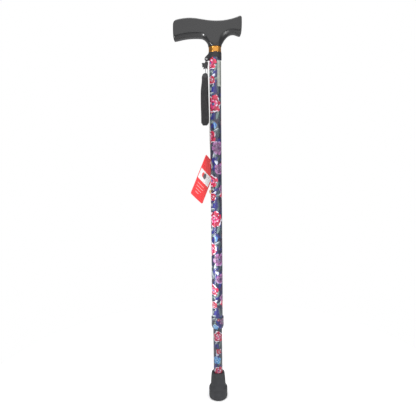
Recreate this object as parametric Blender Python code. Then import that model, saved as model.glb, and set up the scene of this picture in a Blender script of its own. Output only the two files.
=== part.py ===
"""Adjustable single point walking cane with a moulded T handle, a wrist strap and a swing tag.

Metres, +Z up. The foot stands at the origin, X runs along the handle (long arm to -X) and the
front is -Y. Every dimension below is in millimetres, and MM turns it into metres when a mesh or
a curve is made.
"""

import math

import bmesh
import bpy
from mathutils import Vector, geometry

MM = 0.001
GAP = 0.3
SHARP_ANGLE = math.radians(38)

# shaft
OUTER_R, OUTER_BORE_R = 11.0, 9.8
OUTER_Z = (164.8, 709.4)
INNER_R, INNER_BORE_R = 9.5, 8.3
INNER_Z = (11.0, 462.0)
HOLE_PITCH, HOLE_COUNT, HOLE_R = 25.4, 10, 3.9
BUTTON_Z = 437.0
EDGE_BREAK = 0.2
TUBE_SIDES, SMALL_SIDES, HOLE_SIDES = 48, 32, 20

# snap button and its spring
BUTTON_R, BUTTON_FLANGE_R = 3.5, 4.6
BUTTON_TIP_X, BUTTON_FLANGE_X, BUTTON_BACK_X = -13.8, -6.5, -5.7
SPRING_THICK, SPRING_WIDTH = 0.5, 7.0
SPRING_PATH = [
    (-5.1, 443.0),
    (-5.2, 430.0),
    (-3.0, 402.0),
    (-1.2, 396.6),
    (0.8, 395.4),
    (2.8, 397.2),
    (4.2, 403.0),
    (7.0, 437.0),
]

# collar
COLLAR_R, COLLAR_BORE_R, COLLAR_LIP_BORE_R = 12.9, 11.3, 9.85

# label, with its angles measured from +X towards +Y
LABEL_Z, LABEL_ANGLES = (637.0, 684.4), (-75, 39)

# neck: gold ring, rubber strap ring and its lug
NECK_Z = 710.0
GOLD_Z, GOLD_R, GOLD_BORE_R = (699.8, 709.7), 11.8, 11.3
BAND_TOP_Z, BAND_FRONT_Z, BAND_SIDE_DROP = 699.4, 690.6, 5.2
BAND_R, BAND_BORE_R = 12.35, 11.3
LUG_HALF_WIDTH, LUG_ROOT_X = 2.5, -12.0
LUG_SIDE = [
    (-11.8, 698.4),
    (-13.4, 696.6),
    (-15.6, 694.4),
    (-18.0, 692.0),
    (-19.3, 690.0),
    (-19.7, 687.8),
    (-19.0, 685.8),
    (-17.6, 684.6),
    (-15.6, 684.2),
    (-13.6, 684.6),
    (-11.8, 685.8),
]
EYE_X, EYE_Z, EYE_R = -15.8, 688.6, 2.0

# wrist strap: cord, bead, end cap and a webbing loop; LOOP_PIVOT_Z is where the loop swings
CORD_R = 0.6
BEAD_X, BEAD_Z, BEAD_BORE_R = -18.0, (670.2, 682.8), 1.7
LOOP_PIVOT_Z = 666.4
CAP_Z, CAP_SOCKET_Z = (653.8, 662.4), 658.4
STRAP_TOP_Z, STRAP_FOLD_Z, STRAP_PLY_Y, STRAP_THICK = 653.5, 567.6, 1.6, 1.4
STRAP_TOP_HALF_WIDTH, STRAP_HALF_WIDTH, STRAP_TAPER = 5.3, 6.6, 0.35
STRAP_FRONT_X, STRAP_REAR_X = -21.2, -19.4

# half of the strap cord's route, from the end cap up through the bead to the middle of the eye
CORD_ROUTE = [
    (-18.0, -0.75, 659.6),
    (-18.0, -0.75, 663.0),
    (-18.0, -0.75, 667.0),
    (-18.0, -0.75, 671.0),
    (-18.0, -0.75, 675.0),
    (-18.0, -0.76, 679.0),
    (-17.9, -0.95, 681.1),
    (-17.7, -1.75, 682.7),
    (-17.4, -2.70, 683.8),
    (-17.0, -3.25, 685.0),
    (-16.7, -3.25, 686.3),
    (-16.5, -2.60, 687.6),
    (-16.5, -1.40, 688.5),
    (-16.5, 0.0, 688.75),
]
CORD_POINTS = 61

# swing tag, hung behind the shaft at an angle
TAG_LENGTH, TAG_WIDTH, TAG_THICK, TAG_CORNER_R, TAG_HOLE_R = 85.0, 49.0, 0.6, 3.0, 2.0
TAG_CORNER = Vector((-19.2, 2.0, 510.2))
TAG_DOWN = Vector((-0.359, -0.405, -0.841)).normalized()
TAG_ACROSS = Vector((0.425, 0.731, -0.534))
TAG_HOLE_DOWN = 5.0
STRING_R = 0.4

# the tag string's route, from the front of the eye down behind the strap to just above the card
STRING_ROUTE = [
    (-14.9, -3.4, 688.6),
    (-14.9, -1.2, 688.7),
    (-14.9, 1.2, 688.6),
    (-14.85, 3.2, 687.9),
    (-14.7, 4.7, 685.9),
    (-14.5, 5.5, 682.4),
    (-14.4, 6.0, 676.0),
    (-14.2, 6.5, 666.0),
    (-14.0, 7.4, 652.0),
    (-13.8, 8.1, 637.0),
    (-13.4, 9.2, 620.0),
    (-13.1, 10.0, 603.0),
    (-12.6, 11.3, 585.0),
    (-12.3, 12.4, 567.0),
    (-11.8, 13.8, 549.0),
    (-11.3, 15.3, 531.0),
    (-10.7, 17.0, 513.0),
    (-10.4, 18.1, 501.0),
]
STRING_POINTS = 80

# handle: silhouette x and z, front face x and z, half width of the full-size band, roundness of the edge
HANDLE_HALF_DEPTH = 14.0
NECK_R = 12.6
HANDLE_OUTLINE = [
    (-12.6, 710.0, -7.0, 710.0, 1.5, 1.0),
    (-13.0, 713.0, -8.5, 713.5, 2.5, 0.8),
    (-14.7, 717.2, -10.4, 718.0, 4.0, 0.5),
    (-18.2, 721.6, -13.2, 722.4, 5.5, 0.35),
    (-22.4, 724.4, -16.4, 727.6, 6.5, 0.3),
    (-28.0, 725.6, -21.0, 732.0, 7.0, 0.3),
    (-38.0, 725.8, -34.0, 733.4, 7.0, 0.3),
    (-50.0, 725.2, -49.0, 733.2, 7.0, 0.3),
    (-62.0, 723.4, -61.0, 731.2, 7.0, 0.3),
    (-71.5, 721.4, -70.0, 729.4, 7.0, 0.4),
    (-75.3, 721.6, -73.9, 729.4, 7.5, 0.6),
    (-76.7, 725.5, -75.0, 732.4, 8.0, 0.8),
    (-77.2, 737.0, -75.2, 740.0, 8.5, 1.0),
    (-76.8, 749.0, -74.6, 748.4, 8.5, 1.0),
    (-74.6, 754.2, -72.4, 751.8, 8.5, 1.0),
    (-69.5, 756.8, -68.2, 753.6, 8.5, 1.0),
    (-60.0, 758.6, -59.0, 755.2, 8.5, 1.0),
    (-48.0, 759.6, -47.8, 756.2, 8.5, 1.0),
    (-36.0, 758.9, -36.0, 755.5, 8.5, 1.0),
    (-23.0, 756.8, -23.0, 753.4, 8.5, 1.0),
    (-9.0, 754.8, -9.0, 751.5, 8.5, 1.0),
    (6.0, 754.1, 6.0, 750.8, 8.5, 1.0),
    (19.0, 755.0, 19.0, 751.6, 8.5, 1.0),
    (31.0, 757.2, 30.6, 753.7, 8.5, 1.0),
    (41.0, 760.2, 39.8, 756.3, 8.5, 1.0),
    (46.6, 762.0, 44.8, 758.0, 8.5, 1.0),
    (49.2, 760.6, 47.0, 757.2, 8.5, 1.0),
    (49.9, 756.0, 47.7, 753.4, 8.5, 1.0),
    (49.8, 743.0, 47.7, 744.0, 8.5, 0.9),
    (48.9, 733.0, 47.5, 739.0, 8.0, 0.6),
    (47.0, 729.0, 46.0, 737.2, 7.5, 0.4),
    (42.5, 729.4, 41.4, 737.8, 7.0, 0.3),
    (36.0, 731.6, 33.6, 738.6, 7.0, 0.3),
    (29.5, 731.2, 25.6, 737.7, 7.0, 0.3),
    (23.6, 727.8, 18.0, 734.6, 6.5, 0.3),
    (18.9, 723.0, 11.9, 730.2, 5.5, 0.35),
    (15.4, 717.6, 7.2, 724.0, 4.0, 0.5),
    (13.3, 713.0, 4.9, 716.0, 2.5, 0.8),
    (12.6, 710.0, 4.4, 710.0, 1.5, 1.0),
]
OUTLINE_STEPS = 2
EDGE_STEPS = 4
NECK_BLEND_Z, NECK_BLEND = 718.0, 8.0
FACE_GRID, FACE_MARGIN = 7.0, 2.4

COLOURS = {
    "handle_black": ((0.020, 0.020, 0.022), 0.0, 0.32),
    "spigot_nylon": ((0.62, 0.62, 0.58), 0.0, 0.5),
    "bright_steel": ((0.56, 0.57, 0.58), 1.0, 0.28),
    "gold_plate": ((0.78, 0.50, 0.14), 1.0, 0.22),
    "printed_tube": ((0.055, 0.065, 0.22), 0.25, 0.25),
    "printed_collar": ((0.055, 0.065, 0.22), 0.0, 0.3),
    "brass": ((0.72, 0.52, 0.20), 1.0, 0.25),
    "tip_rubber": ((0.045, 0.047, 0.052), 0.0, 0.75),
    "band_rubber": ((0.022, 0.022, 0.024), 0.0, 0.6),
    "grey_cord": ((0.30, 0.30, 0.31), 0.0, 0.8),
    "bead_black": ((0.015, 0.015, 0.016), 0.0, 0.45),
    "webbing_black": ((0.028, 0.028, 0.030), 0.0, 0.9),
    "label_paper": ((0.55, 0.56, 0.55), 0.0, 0.45),
    "tag_card": ((0.80, 0.06, 0.06), 0.0, 0.4),
    "tag_string": ((0.70, 0.69, 0.66), 0.0, 0.7),
}


def clear_scene():
    for obj in list(bpy.data.objects):
        bpy.data.objects.remove(obj, do_unlink=True)


def material(name):
    found = bpy.data.materials.get(name)
    if found:
        return found
    colour, metallic, roughness = COLOURS[name]
    made = bpy.data.materials.new(name)
    made.use_nodes = True
    shader = made.node_tree.nodes["Principled BSDF"]
    shader.inputs["Base Color"].default_value = (*colour, 1.0)
    shader.inputs["Metallic"].default_value = metallic
    shader.inputs["Roughness"].default_value = roughness
    made.diffuse_color = (*colour, 1.0)
    return made


def add_mesh(name, points, faces, colour, origin=(0.0, 0.0, 0.0)):
    """Link a closed mesh, from points in millimetres, with its object origin at origin."""
    start = Vector(origin)
    mesh = bpy.data.meshes.new(name)
    mesh.from_pydata([(Vector(p) - start) * MM for p in points], [], faces)
    body = bmesh.new()
    body.from_mesh(mesh)
    bmesh.ops.recalc_face_normals(body, faces=body.faces)
    body.to_mesh(mesh)
    body.free()
    obj = bpy.data.objects.new(name, mesh)
    bpy.context.scene.collection.objects.link(obj)
    obj.location = start * MM
    mesh.materials.append(material(colour))
    mesh.shade_smooth()
    mesh.set_sharp_from_angle(angle=SHARP_ANGLE)
    return obj


def combine(obj, cutters, operation="DIFFERENCE"):
    """Boolean obj with each cutter, keep the result as its mesh and remove the cutters."""
    for cutter in cutters:
        step = obj.modifiers.new("cut", "BOOLEAN")
        step.operation = operation
        step.solver = "EXACT"
        step.object = cutter
    bpy.context.view_layer.update()
    shape = obj.evaluated_get(bpy.context.evaluated_depsgraph_get())
    mesh = bpy.data.meshes.new_from_object(shape)
    obj.modifiers.clear()
    paint = obj.data.materials[0]
    old, obj.data = obj.data, mesh
    bpy.data.meshes.remove(old)
    for cutter in cutters:
        bpy.data.objects.remove(cutter, do_unlink=True)
    mesh.name = obj.name
    mesh.materials.clear()
    mesh.materials.append(paint)
    mesh.polygons.foreach_set("material_index", [0] * len(mesh.polygons))
    mesh.shade_smooth()
    mesh.set_sharp_from_angle(angle=SHARP_ANGLE)


def joint_empty(name, place):
    """An empty on a joint's axis, which the pieces that swing there hang from."""
    empty = bpy.data.objects.new(name, None)
    empty.location = Vector(place) * MM
    bpy.context.scene.collection.objects.link(empty)
    return empty


def hang_on(empty, *pieces):
    for piece in pieces:
        piece.location -= empty.location
        piece.parent = empty


def frame_of(axis):
    """Two directions that make a right-handed frame with axis."""
    axis = Vector(axis).normalized()
    side = Vector((0, 1, 0)) if abs(axis.y) < 0.9 else Vector((1, 0, 0))
    first = side.cross(axis).normalized()
    return first, axis.cross(first), axis


def turned(name, profile, colour, sides=TUBE_SIDES, centre=(0.0, 0.0, 0.0), axis=(0.0, 0.0, 1.0)):
    """A solid of revolution from (radius, height) points: a closed loop, or a line from axis to axis."""
    first, second, up = frame_of(axis)
    centre = Vector(centre)
    points, rings = [], []
    for radius, height in profile:
        if radius == 0:
            rings.append([len(points)])
            points.append(centre + up * height)
            continue
        rings.append(list(range(len(points), len(points) + sides)))
        for k in range(sides):
            angle = 2 * math.pi * k / sides
            out = first * math.cos(angle) + second * math.sin(angle)
            points.append(centre + up * height + out * radius)
    closed = profile[0][0] > 0
    faces = []
    for low, high in zip(rings, rings[1:] + rings[:1] if closed else rings[1:]):
        for k in range(sides):
            n = (k + 1) % sides
            if len(low) == 1:
                faces.append((low[0], high[k], high[n]))
            elif len(high) == 1:
                faces.append((low[k], low[n], high[0]))
            else:
                faces.append((low[k], low[n], high[n], high[k]))
    return add_mesh(name, points, faces, colour, origin=centre)


def cylinder(name, start, end, radius, sides=24):
    """A capped cylinder between two points, used to cut holes."""
    start, end = Vector(start), Vector(end)
    length = (end - start).length
    profile = [(0, 0), (radius, 0), (radius, length), (0, length)]
    return turned(name, profile, "bright_steel", sides, start, end - start)


def grid_solid(name, rings, colour, origin=(0.0, 0.0, 0.0)):
    """Join equal rings of points end to end and cap both ends."""
    count = len(rings[0])
    points = [p for ring in rings for p in ring]
    faces = [tuple(range(count)), tuple(range(len(points) - count, len(points)))]
    for r in range(len(rings) - 1):
        for k in range(count):
            n = (k + 1) % count
            a, b = r * count, (r + 1) * count
            faces.append((a + k, a + n, b + n, b + k))
    return add_mesh(name, points, faces, colour, origin)


def spline(rows, steps):
    """Rows of numbers made smooth: a Catmull-Rom curve through them, with steps points per span."""
    out = []
    last = len(rows) - 1
    for k in range(last):
        near = (rows[max(k - 1, 0)], rows[k], rows[k + 1], rows[min(k + 2, last)])
        for step in range(steps):
            t = step / steps
            share = (
                (-t + 2 * t**2 - t**3) / 2,
                (2 - 5 * t**2 + 3 * t**3) / 2,
                (t + 4 * t**2 - 3 * t**3) / 2,
                (t**3 - t**2) / 2,
            )
            out.append(tuple(sum(w * v for w, v in zip(share, values)) for values in zip(*near)))
    return out + [tuple(rows[-1])]


def evenly(path, count):
    """Count points at equal steps along a path."""
    path = [Vector(p) for p in path]
    runs = [(b - a).length for a, b in zip(path, path[1:])]
    out = []
    span, start = 0, 0.0
    for k in range(count):
        wanted = sum(runs) * k / (count - 1)
        while span < len(runs) - 1 and start + runs[span] < wanted:
            start += runs[span]
            span += 1
        out.append(path[span].lerp(path[span + 1], (wanted - start) / runs[span]))
    return out


def neck_round(point):
    """Draw a handle point in to the neck's circle as it comes down to the gold ring."""
    x, y, z = point
    share = min(max((NECK_BLEND_Z - z) / NECK_BLEND, 0.0), 1.0) ** 2
    reach = math.hypot(x, y) or 1.0
    pull = 1.0 + (NECK_R / reach - 1.0) * share
    return (x * pull, y * pull, z)


def handle():
    """One moulded body: a rounded band around the outline and a flat T-shaped face front and back."""
    outline = spline(HANDLE_OUTLINE, OUTLINE_STEPS)
    points, ribs = [], []
    for x, z, face_x, face_z, band, soft in outline:
        edge = []
        for k in range(EDGE_STEPS + 1):
            t = k / EDGE_STEPS
            inward = soft * (1 - math.sin(t * math.pi / 2)) + (1 - soft) * (1 - t)
            forward = soft * math.cos(t * math.pi / 2) + (1 - soft) * (1 - t)
            depth = band + (HANDLE_HALF_DEPTH - band) * forward
            edge.append((x + (face_x - x) * inward, depth, z + (face_z - z) * inward))
        rib = [(x, -y, z) for x, y, z in edge] + edge[::-1]
        ribs.append(list(range(len(points), len(points) + len(rib))))
        points += rib
    faces = []
    for one, two in zip(ribs, ribs[1:]):
        faces += [(one[k], two[k], two[k + 1], one[k + 1]) for k in range(len(one) - 1)]
    border = [Vector((points[rib[0]][0], points[rib[0]][2])) for rib in ribs]
    bottom = [border[-1].lerp(border[0], t) for t in (0.25, 0.5, 0.75)]
    loop = border + bottom
    inside = [p for p in face_grid(loop) if clear_of(p, loop, FACE_MARGIN)]
    count = len(loop)
    ring = [(k, (k + 1) % count) for k in range(count)]
    flat_face = geometry.delaunay_2d_cdt(loop + inside, ring, [list(range(count))], 1, 1e-5)
    made, triangles, came_from = flat_face[0], flat_face[2], flat_face[3]
    edges = {}
    for side, end in ((-1, 0), (1, -1)):
        at = {}
        for k, flat in enumerate(made):
            source = came_from[k][0] if came_from[k] else count
            if source < len(ribs):
                at[k] = ribs[source][end]
                continue
            at[k] = len(points)
            points.append((flat.x, side * HANDLE_HALF_DEPTH, flat.y))
            if source < count:
                edges[side, source - len(ribs)] = at[k]
        faces += [tuple(at[k] for k in triangle) for triangle in triangles]
    front, rear = ([edges[side, k] for k in range(len(bottom))] for side in (-1, 1))
    faces.append(tuple(ribs[0] + rear[::-1] + ribs[-1][::-1] + front))
    body = add_mesh("handle", [neck_round(p) for p in points], faces, "handle_black", (0, 0, NECK_Z))
    socket = [(0, NECK_Z - 10), (6.3, NECK_Z - 10), (6.3, 737), (2.5, 737), (2.5, 749.5), (0, 749.5)]
    combine(body, [turned("socket_cutter", socket, "handle_black", SMALL_SIDES)])


def face_grid(loop):
    """A staggered grid of flat points over a loop's box, which keeps the face's triangles even."""
    low = [min(p[axis] for p in loop) for axis in (0, 1)]
    high = [max(p[axis] for p in loop) for axis in (0, 1)]
    grid = []
    for row in range(int((high[1] - low[1]) / FACE_GRID) + 1):
        for column in range(int((high[0] - low[0]) / FACE_GRID) + 1):
            shift = FACE_GRID / 2 * (row % 2)
            grid.append(Vector((low[0] + FACE_GRID * column + shift, low[1] + FACE_GRID * (row + 0.5))))
    return grid


def clear_of(point, loop, margin):
    """Is a flat point inside the loop and at least margin from its edges?"""
    inside = False
    for a, b in zip(loop, loop[1:] + loop[:1]):
        along = b - a
        t = min(max((point - a).dot(along) / along.length_squared, 0.0), 1.0)
        if (a + along * t - point).length < margin:
            return False
        if (a.y > point.y) != (b.y > point.y) and point.x < a.x + along.x * (point.y - a.y) / along.y:
            inside = not inside
    return inside


def handle_fixings():
    """A nylon spigot pressed in the tube and the handle, and the screw up its middle."""
    neck = NECK_Z - GAP
    spigot = [
        (2.6, 664.0),
        (2.6, 736.5),
        (6.0, 736.5),
        (6.0, neck),
        (9.5, neck),
        (9.5, 656.0),
        (8.9, 655.0),
        (4.6, 655.0),
        (4.6, 664.0),
    ]
    turned("handle_spigot", spigot, "spigot_nylon", SMALL_SIDES)
    screw = [(0, 660.4), (3.4, 660.4), (4.2, 661.2), (4.2, 663.7), (2.2, 663.7), (2.2, 747.0), (0, 749.2)]
    turned("handle_screw", screw, "bright_steel", HOLE_SIDES)


def gold_ring():
    """A plated ring with a shallow groove between its two rolled edges."""
    low, high = GOLD_Z
    groove = 0.15
    profile = [
        (GOLD_BORE_R, low),
        (GOLD_R - 0.25, low),
        (GOLD_R, low + 0.5),
        (GOLD_R, low + 1.5),
        (GOLD_R - groove, low + 1.8),
        (GOLD_R - groove, high - 1.8),
        (GOLD_R, high - 1.5),
        (GOLD_R, high - 0.5),
        (GOLD_R - 0.25, high),
        (GOLD_BORE_R, high),
    ]
    turned("gold_ring", profile, "gold_plate")


def tube(name, radius, bore, ends):
    low, high = ends
    profile = [
        (bore, low),
        (radius - EDGE_BREAK, low),
        (radius, low + EDGE_BREAK),
        (radius, high - EDGE_BREAK),
        (radius - EDGE_BREAK, high),
        (bore, high),
    ]
    return turned(name, profile, "printed_tube")


def hole_cutter(name, z):
    """A short cylinder that cuts one hole in the -X wall of a tube."""
    return cylinder(name, (-OUTER_R - 2, 0, z), (-INNER_BORE_R + 3, 0, z), HOLE_R, HOLE_SIDES)


def shaft():
    outer = tube("outer_tube", OUTER_R, OUTER_BORE_R, OUTER_Z)
    combine(outer, [hole_cutter(f"hole_{n}", BUTTON_Z - HOLE_PITCH * n) for n in range(HOLE_COUNT)])
    inner = tube("inner_tube", INNER_R, INNER_BORE_R, INNER_Z)
    combine(inner, [hole_cutter("button_hole", BUTTON_Z)])
    bottom, top = INNER_Z
    fit_r = INNER_BORE_R - GAP
    guide = [
        (5.5, top - 12),
        (fit_r, top - 12),
        (fit_r, top + GAP),
        (INNER_R, top + GAP),
        (INNER_R, top + 3.2),
        (INNER_R - 0.7, top + 4),
        (5.5, top + 4),
    ]
    turned("inner_guide_plug", guide, "spigot_nylon", SMALL_SIDES)
    foot = [
        (3.0, bottom + 0.4),
        (fit_r - GAP, bottom + 0.4),
        (fit_r, bottom + 1),
        (fit_r, bottom + 15),
        (3.0, bottom + 15),
    ]
    turned("inner_foot_plug", foot, "spigot_nylon", SMALL_SIDES)


def snap_button():
    """A button with a flange inside the inner tube, and the leaf spring that pushes it out."""
    front, flange, back = BUTTON_TIP_X, BUTTON_FLANGE_X, BUTTON_BACK_X
    profile = [
        (0, back),
        (BUTTON_FLANGE_R, back),
        (BUTTON_FLANGE_R, flange),
        (BUTTON_R, flange),
        (BUTTON_R, front + 1.5),
        (BUTTON_R - 0.35, front + 0.7),
        (BUTTON_R - 1.1, front + 0.2),
        (0, front),
    ]
    turned("snap_button", profile, "brass", 28, (0, 0, BUTTON_Z), (1, 0, 0))
    ribbon("button_spring", SPRING_PATH, SPRING_THICK, SPRING_WIDTH, "bright_steel")


def ribbon(name, path, thick, width, colour):
    """A strip of sheet bent along a path of (x, z) and centred on y = 0."""
    rings = []
    for k, (x, z) in enumerate(path):
        before, after = path[max(k - 1, 0)], path[min(k + 1, len(path) - 1)]
        along = Vector((after[0] - before[0], after[1] - before[1])).normalized()
        out = Vector((-along.y, along.x)) * thick / 2
        corners = ((1, -width / 2), (1, width / 2), (-1, width / 2), (-1, -width / 2))
        rings.append([(x + side * out.x, y, z + side * out.y) for side, y in corners])
    return grid_solid(name, rings, colour)


def arc_solid(name, section, start, end, steps, colour):
    """A section of (radius, z) swept about the tube's axis from one angle to another, in degrees."""
    rings = []
    for k in range(steps + 1):
        angle = math.radians(start + (end - start) * k / steps)
        rings.append([(r * math.cos(angle), r * math.sin(angle), z) for r, z in section])
    return grid_solid(name, rings, colour)


def locking_collar():
    """A printed barrel with a groove around its middle, and the split sleeve that it squeezes."""
    profile = [
        (COLLAR_LIP_BORE_R, 155.2),
        (10.9, 155.2),
        (11.5, 155.8),
        (12.5, 158.4),
        (COLLAR_R, 160.6),
        (COLLAR_R, 166.6),
        (COLLAR_R - 0.45, 167.2),
        (COLLAR_R - 0.45, 168.6),
        (COLLAR_R, 169.2),
        (COLLAR_R, 178.4),
        (12.5, 179.6),
        (11.9, 180.0),
        (COLLAR_BORE_R, 180.0),
        (COLLAR_BORE_R, 156.6),
        (COLLAR_LIP_BORE_R, 156.6),
    ]
    turned("locking_collar", profile, "printed_collar")
    sleeve = ((9.8, 157.6), (10.6, 156.9), (11.0, 157.4), (11.0, 164.5), (9.8, 164.5))
    arc_solid("collar_sleeve", sleeve, 6, 354, 30, "spigot_nylon")


def ferrule():
    """A rubber foot with rings under its sole, and the washer that the tube's end stands on."""
    sole = [(0, 0), (6.0, 0), (6.3, 1.2), (8.3, 1.2), (8.6, 0), (11.0, 0), (11.3, 1.2), (13.3, 1.2), (13.6, 0)]
    base = [(16.4, 0), (18.4, 1.4), (19.2, 4.0), (19.3, 20.6), (18.95, 21.1), (19.1, 21.7), (18.7, 24.0)]
    body = [(16.6, 27.2), (15.7, 29.6), (14.9, 43.0), (13.9, 53.6), (13.3, 56.4), (12.4, 57.5), (10.5, 57.5)]
    socket = [(9.8, 56.8), (9.8, 8.9), (0, 8.9)]
    turned("ferrule", sole + base + body + socket, "tip_rubber")
    turned("ferrule_washer", [(3.0, 9.2), (9.4, 9.2), (9.4, 10.7), (3.0, 10.7)], "bright_steel", SMALL_SIDES)


def strap_ring():
    """A rubber band whose lower edge is higher at the front and back, with a lug and an eye at -X."""
    sides = TUBE_SIDES
    points, faces = [], []
    for k in range(sides):
        angle = 2 * math.pi * k / sides
        c, s = math.cos(angle), math.sin(angle)
        low = BAND_FRONT_Z - BAND_SIDE_DROP * c * c
        loop = (
            (BAND_BORE_R, low),
            (BAND_R - 0.3, low),
            (BAND_R, low + 0.4),
            (BAND_R, BAND_TOP_Z - 0.4),
            (BAND_R - 0.3, BAND_TOP_Z),
            (BAND_BORE_R, BAND_TOP_Z),
        )
        points += [(r * c, r * s, z) for r, z in loop]
        here, ahead = 6 * k, 6 * ((k + 1) % sides)
        for n in range(6):
            m = (n + 1) % 6
            faces.append((here + n, here + m, ahead + m, ahead + n))
    band = add_mesh("strap_ring", points, faces, "band_rubber")
    layers = []
    for share, scale in ((-1, 0.9), (-0.86, 1.0), (0.86, 1.0), (1, 0.9)):
        layer = []
        for x, z in LUG_SIDE:
            edge_x = EYE_X + (x - EYE_X) * scale if x < LUG_ROOT_X else x
            layer.append((edge_x, share * LUG_HALF_WIDTH, EYE_Z + (z - EYE_Z) * scale))
        layers.append(layer)
    combine(band, [grid_solid("lug", layers, "band_rubber")], "UNION")
    combine(band, [cylinder("eye", (EYE_X, -6, EYE_Z), (EYE_X, 6, EYE_Z), EYE_R, HOLE_SIDES)])


def cord(name, path, radius, colour):
    """A cord along a path of points in millimetres."""
    curve = bpy.data.curves.new(name, "CURVE")
    curve.dimensions = "3D"
    curve.bevel_depth = radius * MM
    curve.bevel_resolution = 2
    curve.use_fill_caps = True
    line = curve.splines.new("POLY")
    line.points.add(len(path) - 1)
    for point, place in zip(line.points, path):
        point.co = (*(Vector(place) * MM), 1.0)
    obj = bpy.data.objects.new(name, curve)
    bpy.context.scene.collection.objects.link(obj)
    curve.materials.append(material(colour))
    return obj


def wrist_strap():
    """The cord through the eye and the bead, the strap's end cap and its webbing loop."""
    x = BEAD_X
    other_half = [(px, -py, pz) for px, py, pz in CORD_ROUTE[-2::-1]]
    route = evenly(spline(CORD_ROUTE + other_half, 8), CORD_POINTS)
    link = cord("strap_cord", route, CORD_R, "grey_cord")
    low, high = BEAD_Z
    profile = [
        (BEAD_BORE_R, low + 0.2),
        (3.0, low),
        (3.9, low + 0.9),
        (4.4, low + 3.4),
        (4.9, low + 7.4),
        (4.9, high - 1.6),
        (4.2, high - 0.3),
        (3.4, high),
        (BEAD_BORE_R + 1, high - 0.1),
        (BEAD_BORE_R, high - 1.6),
    ]
    bead = turned("strap_bead", profile, "bead_black", 24, (x, 0, 0))
    sections = (
        (CAP_Z[0], 5.7, 2.5, -1.3),
        (657.0, 5.6, 2.9, -1.2),
        (659.8, 4.9, 2.9, -1.0),
        (661.6, 3.7, 2.6, -0.7),
        (CAP_Z[1], 2.5, 2.2, -0.5),
    )
    rings = []
    for z, wide, deep, shift in sections:
        ring = []
        for k in range(24):
            angle = 2 * math.pi * k / 24
            c, s = math.cos(angle), math.sin(angle)
            bulge = (abs(c) ** 3 + abs(s) ** 3) ** (-1 / 3)
            ring.append((x + shift + wide * c * bulge, deep * s * bulge, z))
        rings.append(ring)
    cap = grid_solid("strap_end_cap", rings, "webbing_black")
    socket = cylinder("cap_socket", (x, 0, CAP_SOCKET_Z), (x, 0, CAP_Z[1] + 8), BEAD_BORE_R, HOLE_SIDES)
    combine(cap, [socket])
    swinging = (link, bead, cap, webbing_loop())
    hang_on(joint_empty("strap_swing_axis", (EYE_X, 0, EYE_Z)), *swinging[:2])
    hang_on(joint_empty("strap_loop_axis", (x, 0, LOOP_PIVOT_Z)), *swinging[2:])


def webbing_loop():
    """A strip of webbing that goes down the front, round a fold and up behind, a little to the right."""
    stations = []
    drop = STRAP_TOP_Z - STRAP_FOLD_Z
    plies = [k / 10 for k in range(11)]
    stations += [(-STRAP_PLY_Y, STRAP_TOP_Z - drop * t, t) for t in plies]
    for k in range(1, 6):
        angle = math.pi * k / 6
        y, z = STRAP_PLY_Y * math.cos(angle), STRAP_PLY_Y * math.sin(angle)
        stations.append((-y, STRAP_FOLD_Z - z, 1.0))
    stations += [(STRAP_PLY_Y, STRAP_TOP_Z - drop * t, t) for t in plies[::-1]]
    rings = []
    for k, (y, z, t) in enumerate(stations):
        before, after = stations[max(k - 1, 0)], stations[min(k + 1, len(stations) - 1)]
        along = Vector((after[0] - before[0], after[1] - before[1])).normalized()
        out = Vector((-along.y, along.x)) * STRAP_THICK / 2
        opened = min(t / STRAP_TAPER, 1.0)
        half = STRAP_TOP_HALF_WIDTH + (STRAP_HALF_WIDTH - STRAP_TOP_HALF_WIDTH) * opened
        behind = (y / STRAP_PLY_Y + 1) / 2
        middle = STRAP_FRONT_X + (STRAP_REAR_X - STRAP_FRONT_X) * behind
        middle += (1 - opened) * (1.2 - 0.6 * behind)
        corners = ((-1, -1), (1, -1), (1, 1), (-1, 1))
        rings.append([(middle + a * half, y + b * out.x, z + b * out.y) for a, b in corners])
    return grid_solid("wrist_strap", rings, "webbing_black")


def label():
    """A thin paper label that wraps the right front of the outer tube."""
    low, high = LABEL_Z
    inner, outer = OUTER_R + 0.12, OUTER_R + 0.32
    section = ((inner, low), (outer, low), (outer, high), (inner, high))
    arc_solid("label", section, *LABEL_ANGLES, 22, "label_paper")


def swing_tag():
    """A card with round corners and a hole, and the string from the eye that it hangs on."""
    across = (TAG_ACROSS - TAG_ACROSS.dot(TAG_DOWN) * TAG_DOWN).normalized()
    face = TAG_DOWN.cross(across)
    border = []
    for at_end, at_side, start in ((0, 0, 270), (0, 1, 180), (1, 1, 90), (1, 0, 0)):
        along = TAG_CORNER_R + at_end * (TAG_LENGTH - 2 * TAG_CORNER_R)
        over = TAG_CORNER_R + at_side * (TAG_WIDTH - 2 * TAG_CORNER_R)
        for k in range(5):
            angle = math.radians(start - 90 * k / 4)
            border.append((along + TAG_CORNER_R * math.cos(angle), over + TAG_CORNER_R * math.sin(angle)))
    layers = []
    for side in (-1, 1):
        lift = TAG_CORNER + face * (side * TAG_THICK / 2)
        layers.append([lift + TAG_DOWN * a + across * b for a, b in border])
    hole = TAG_CORNER + TAG_DOWN * TAG_HOLE_DOWN + across * TAG_WIDTH / 2
    card = grid_solid("swing_tag", layers, "tag_card")
    combine(card, [cylinder("tag_hole", hole - face * 4, hole + face * 4, TAG_HOLE_R, HOLE_SIDES)])
    route = STRING_ROUTE + [tuple(hole - face * 1.2), tuple(hole + face * 1.4)]
    string = cord("tag_string", evenly(spline(route, 8), STRING_POINTS), STRING_R, "tag_string")
    hang_on(joint_empty("tag_swing_axis", (EYE_X, 0, EYE_Z)), card, string)


clear_scene()
handle()
handle_fixings()
gold_ring()
shaft()
snap_button()
locking_collar()
ferrule()
strap_ring()
wrist_strap()
label()
swing_tag()
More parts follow.
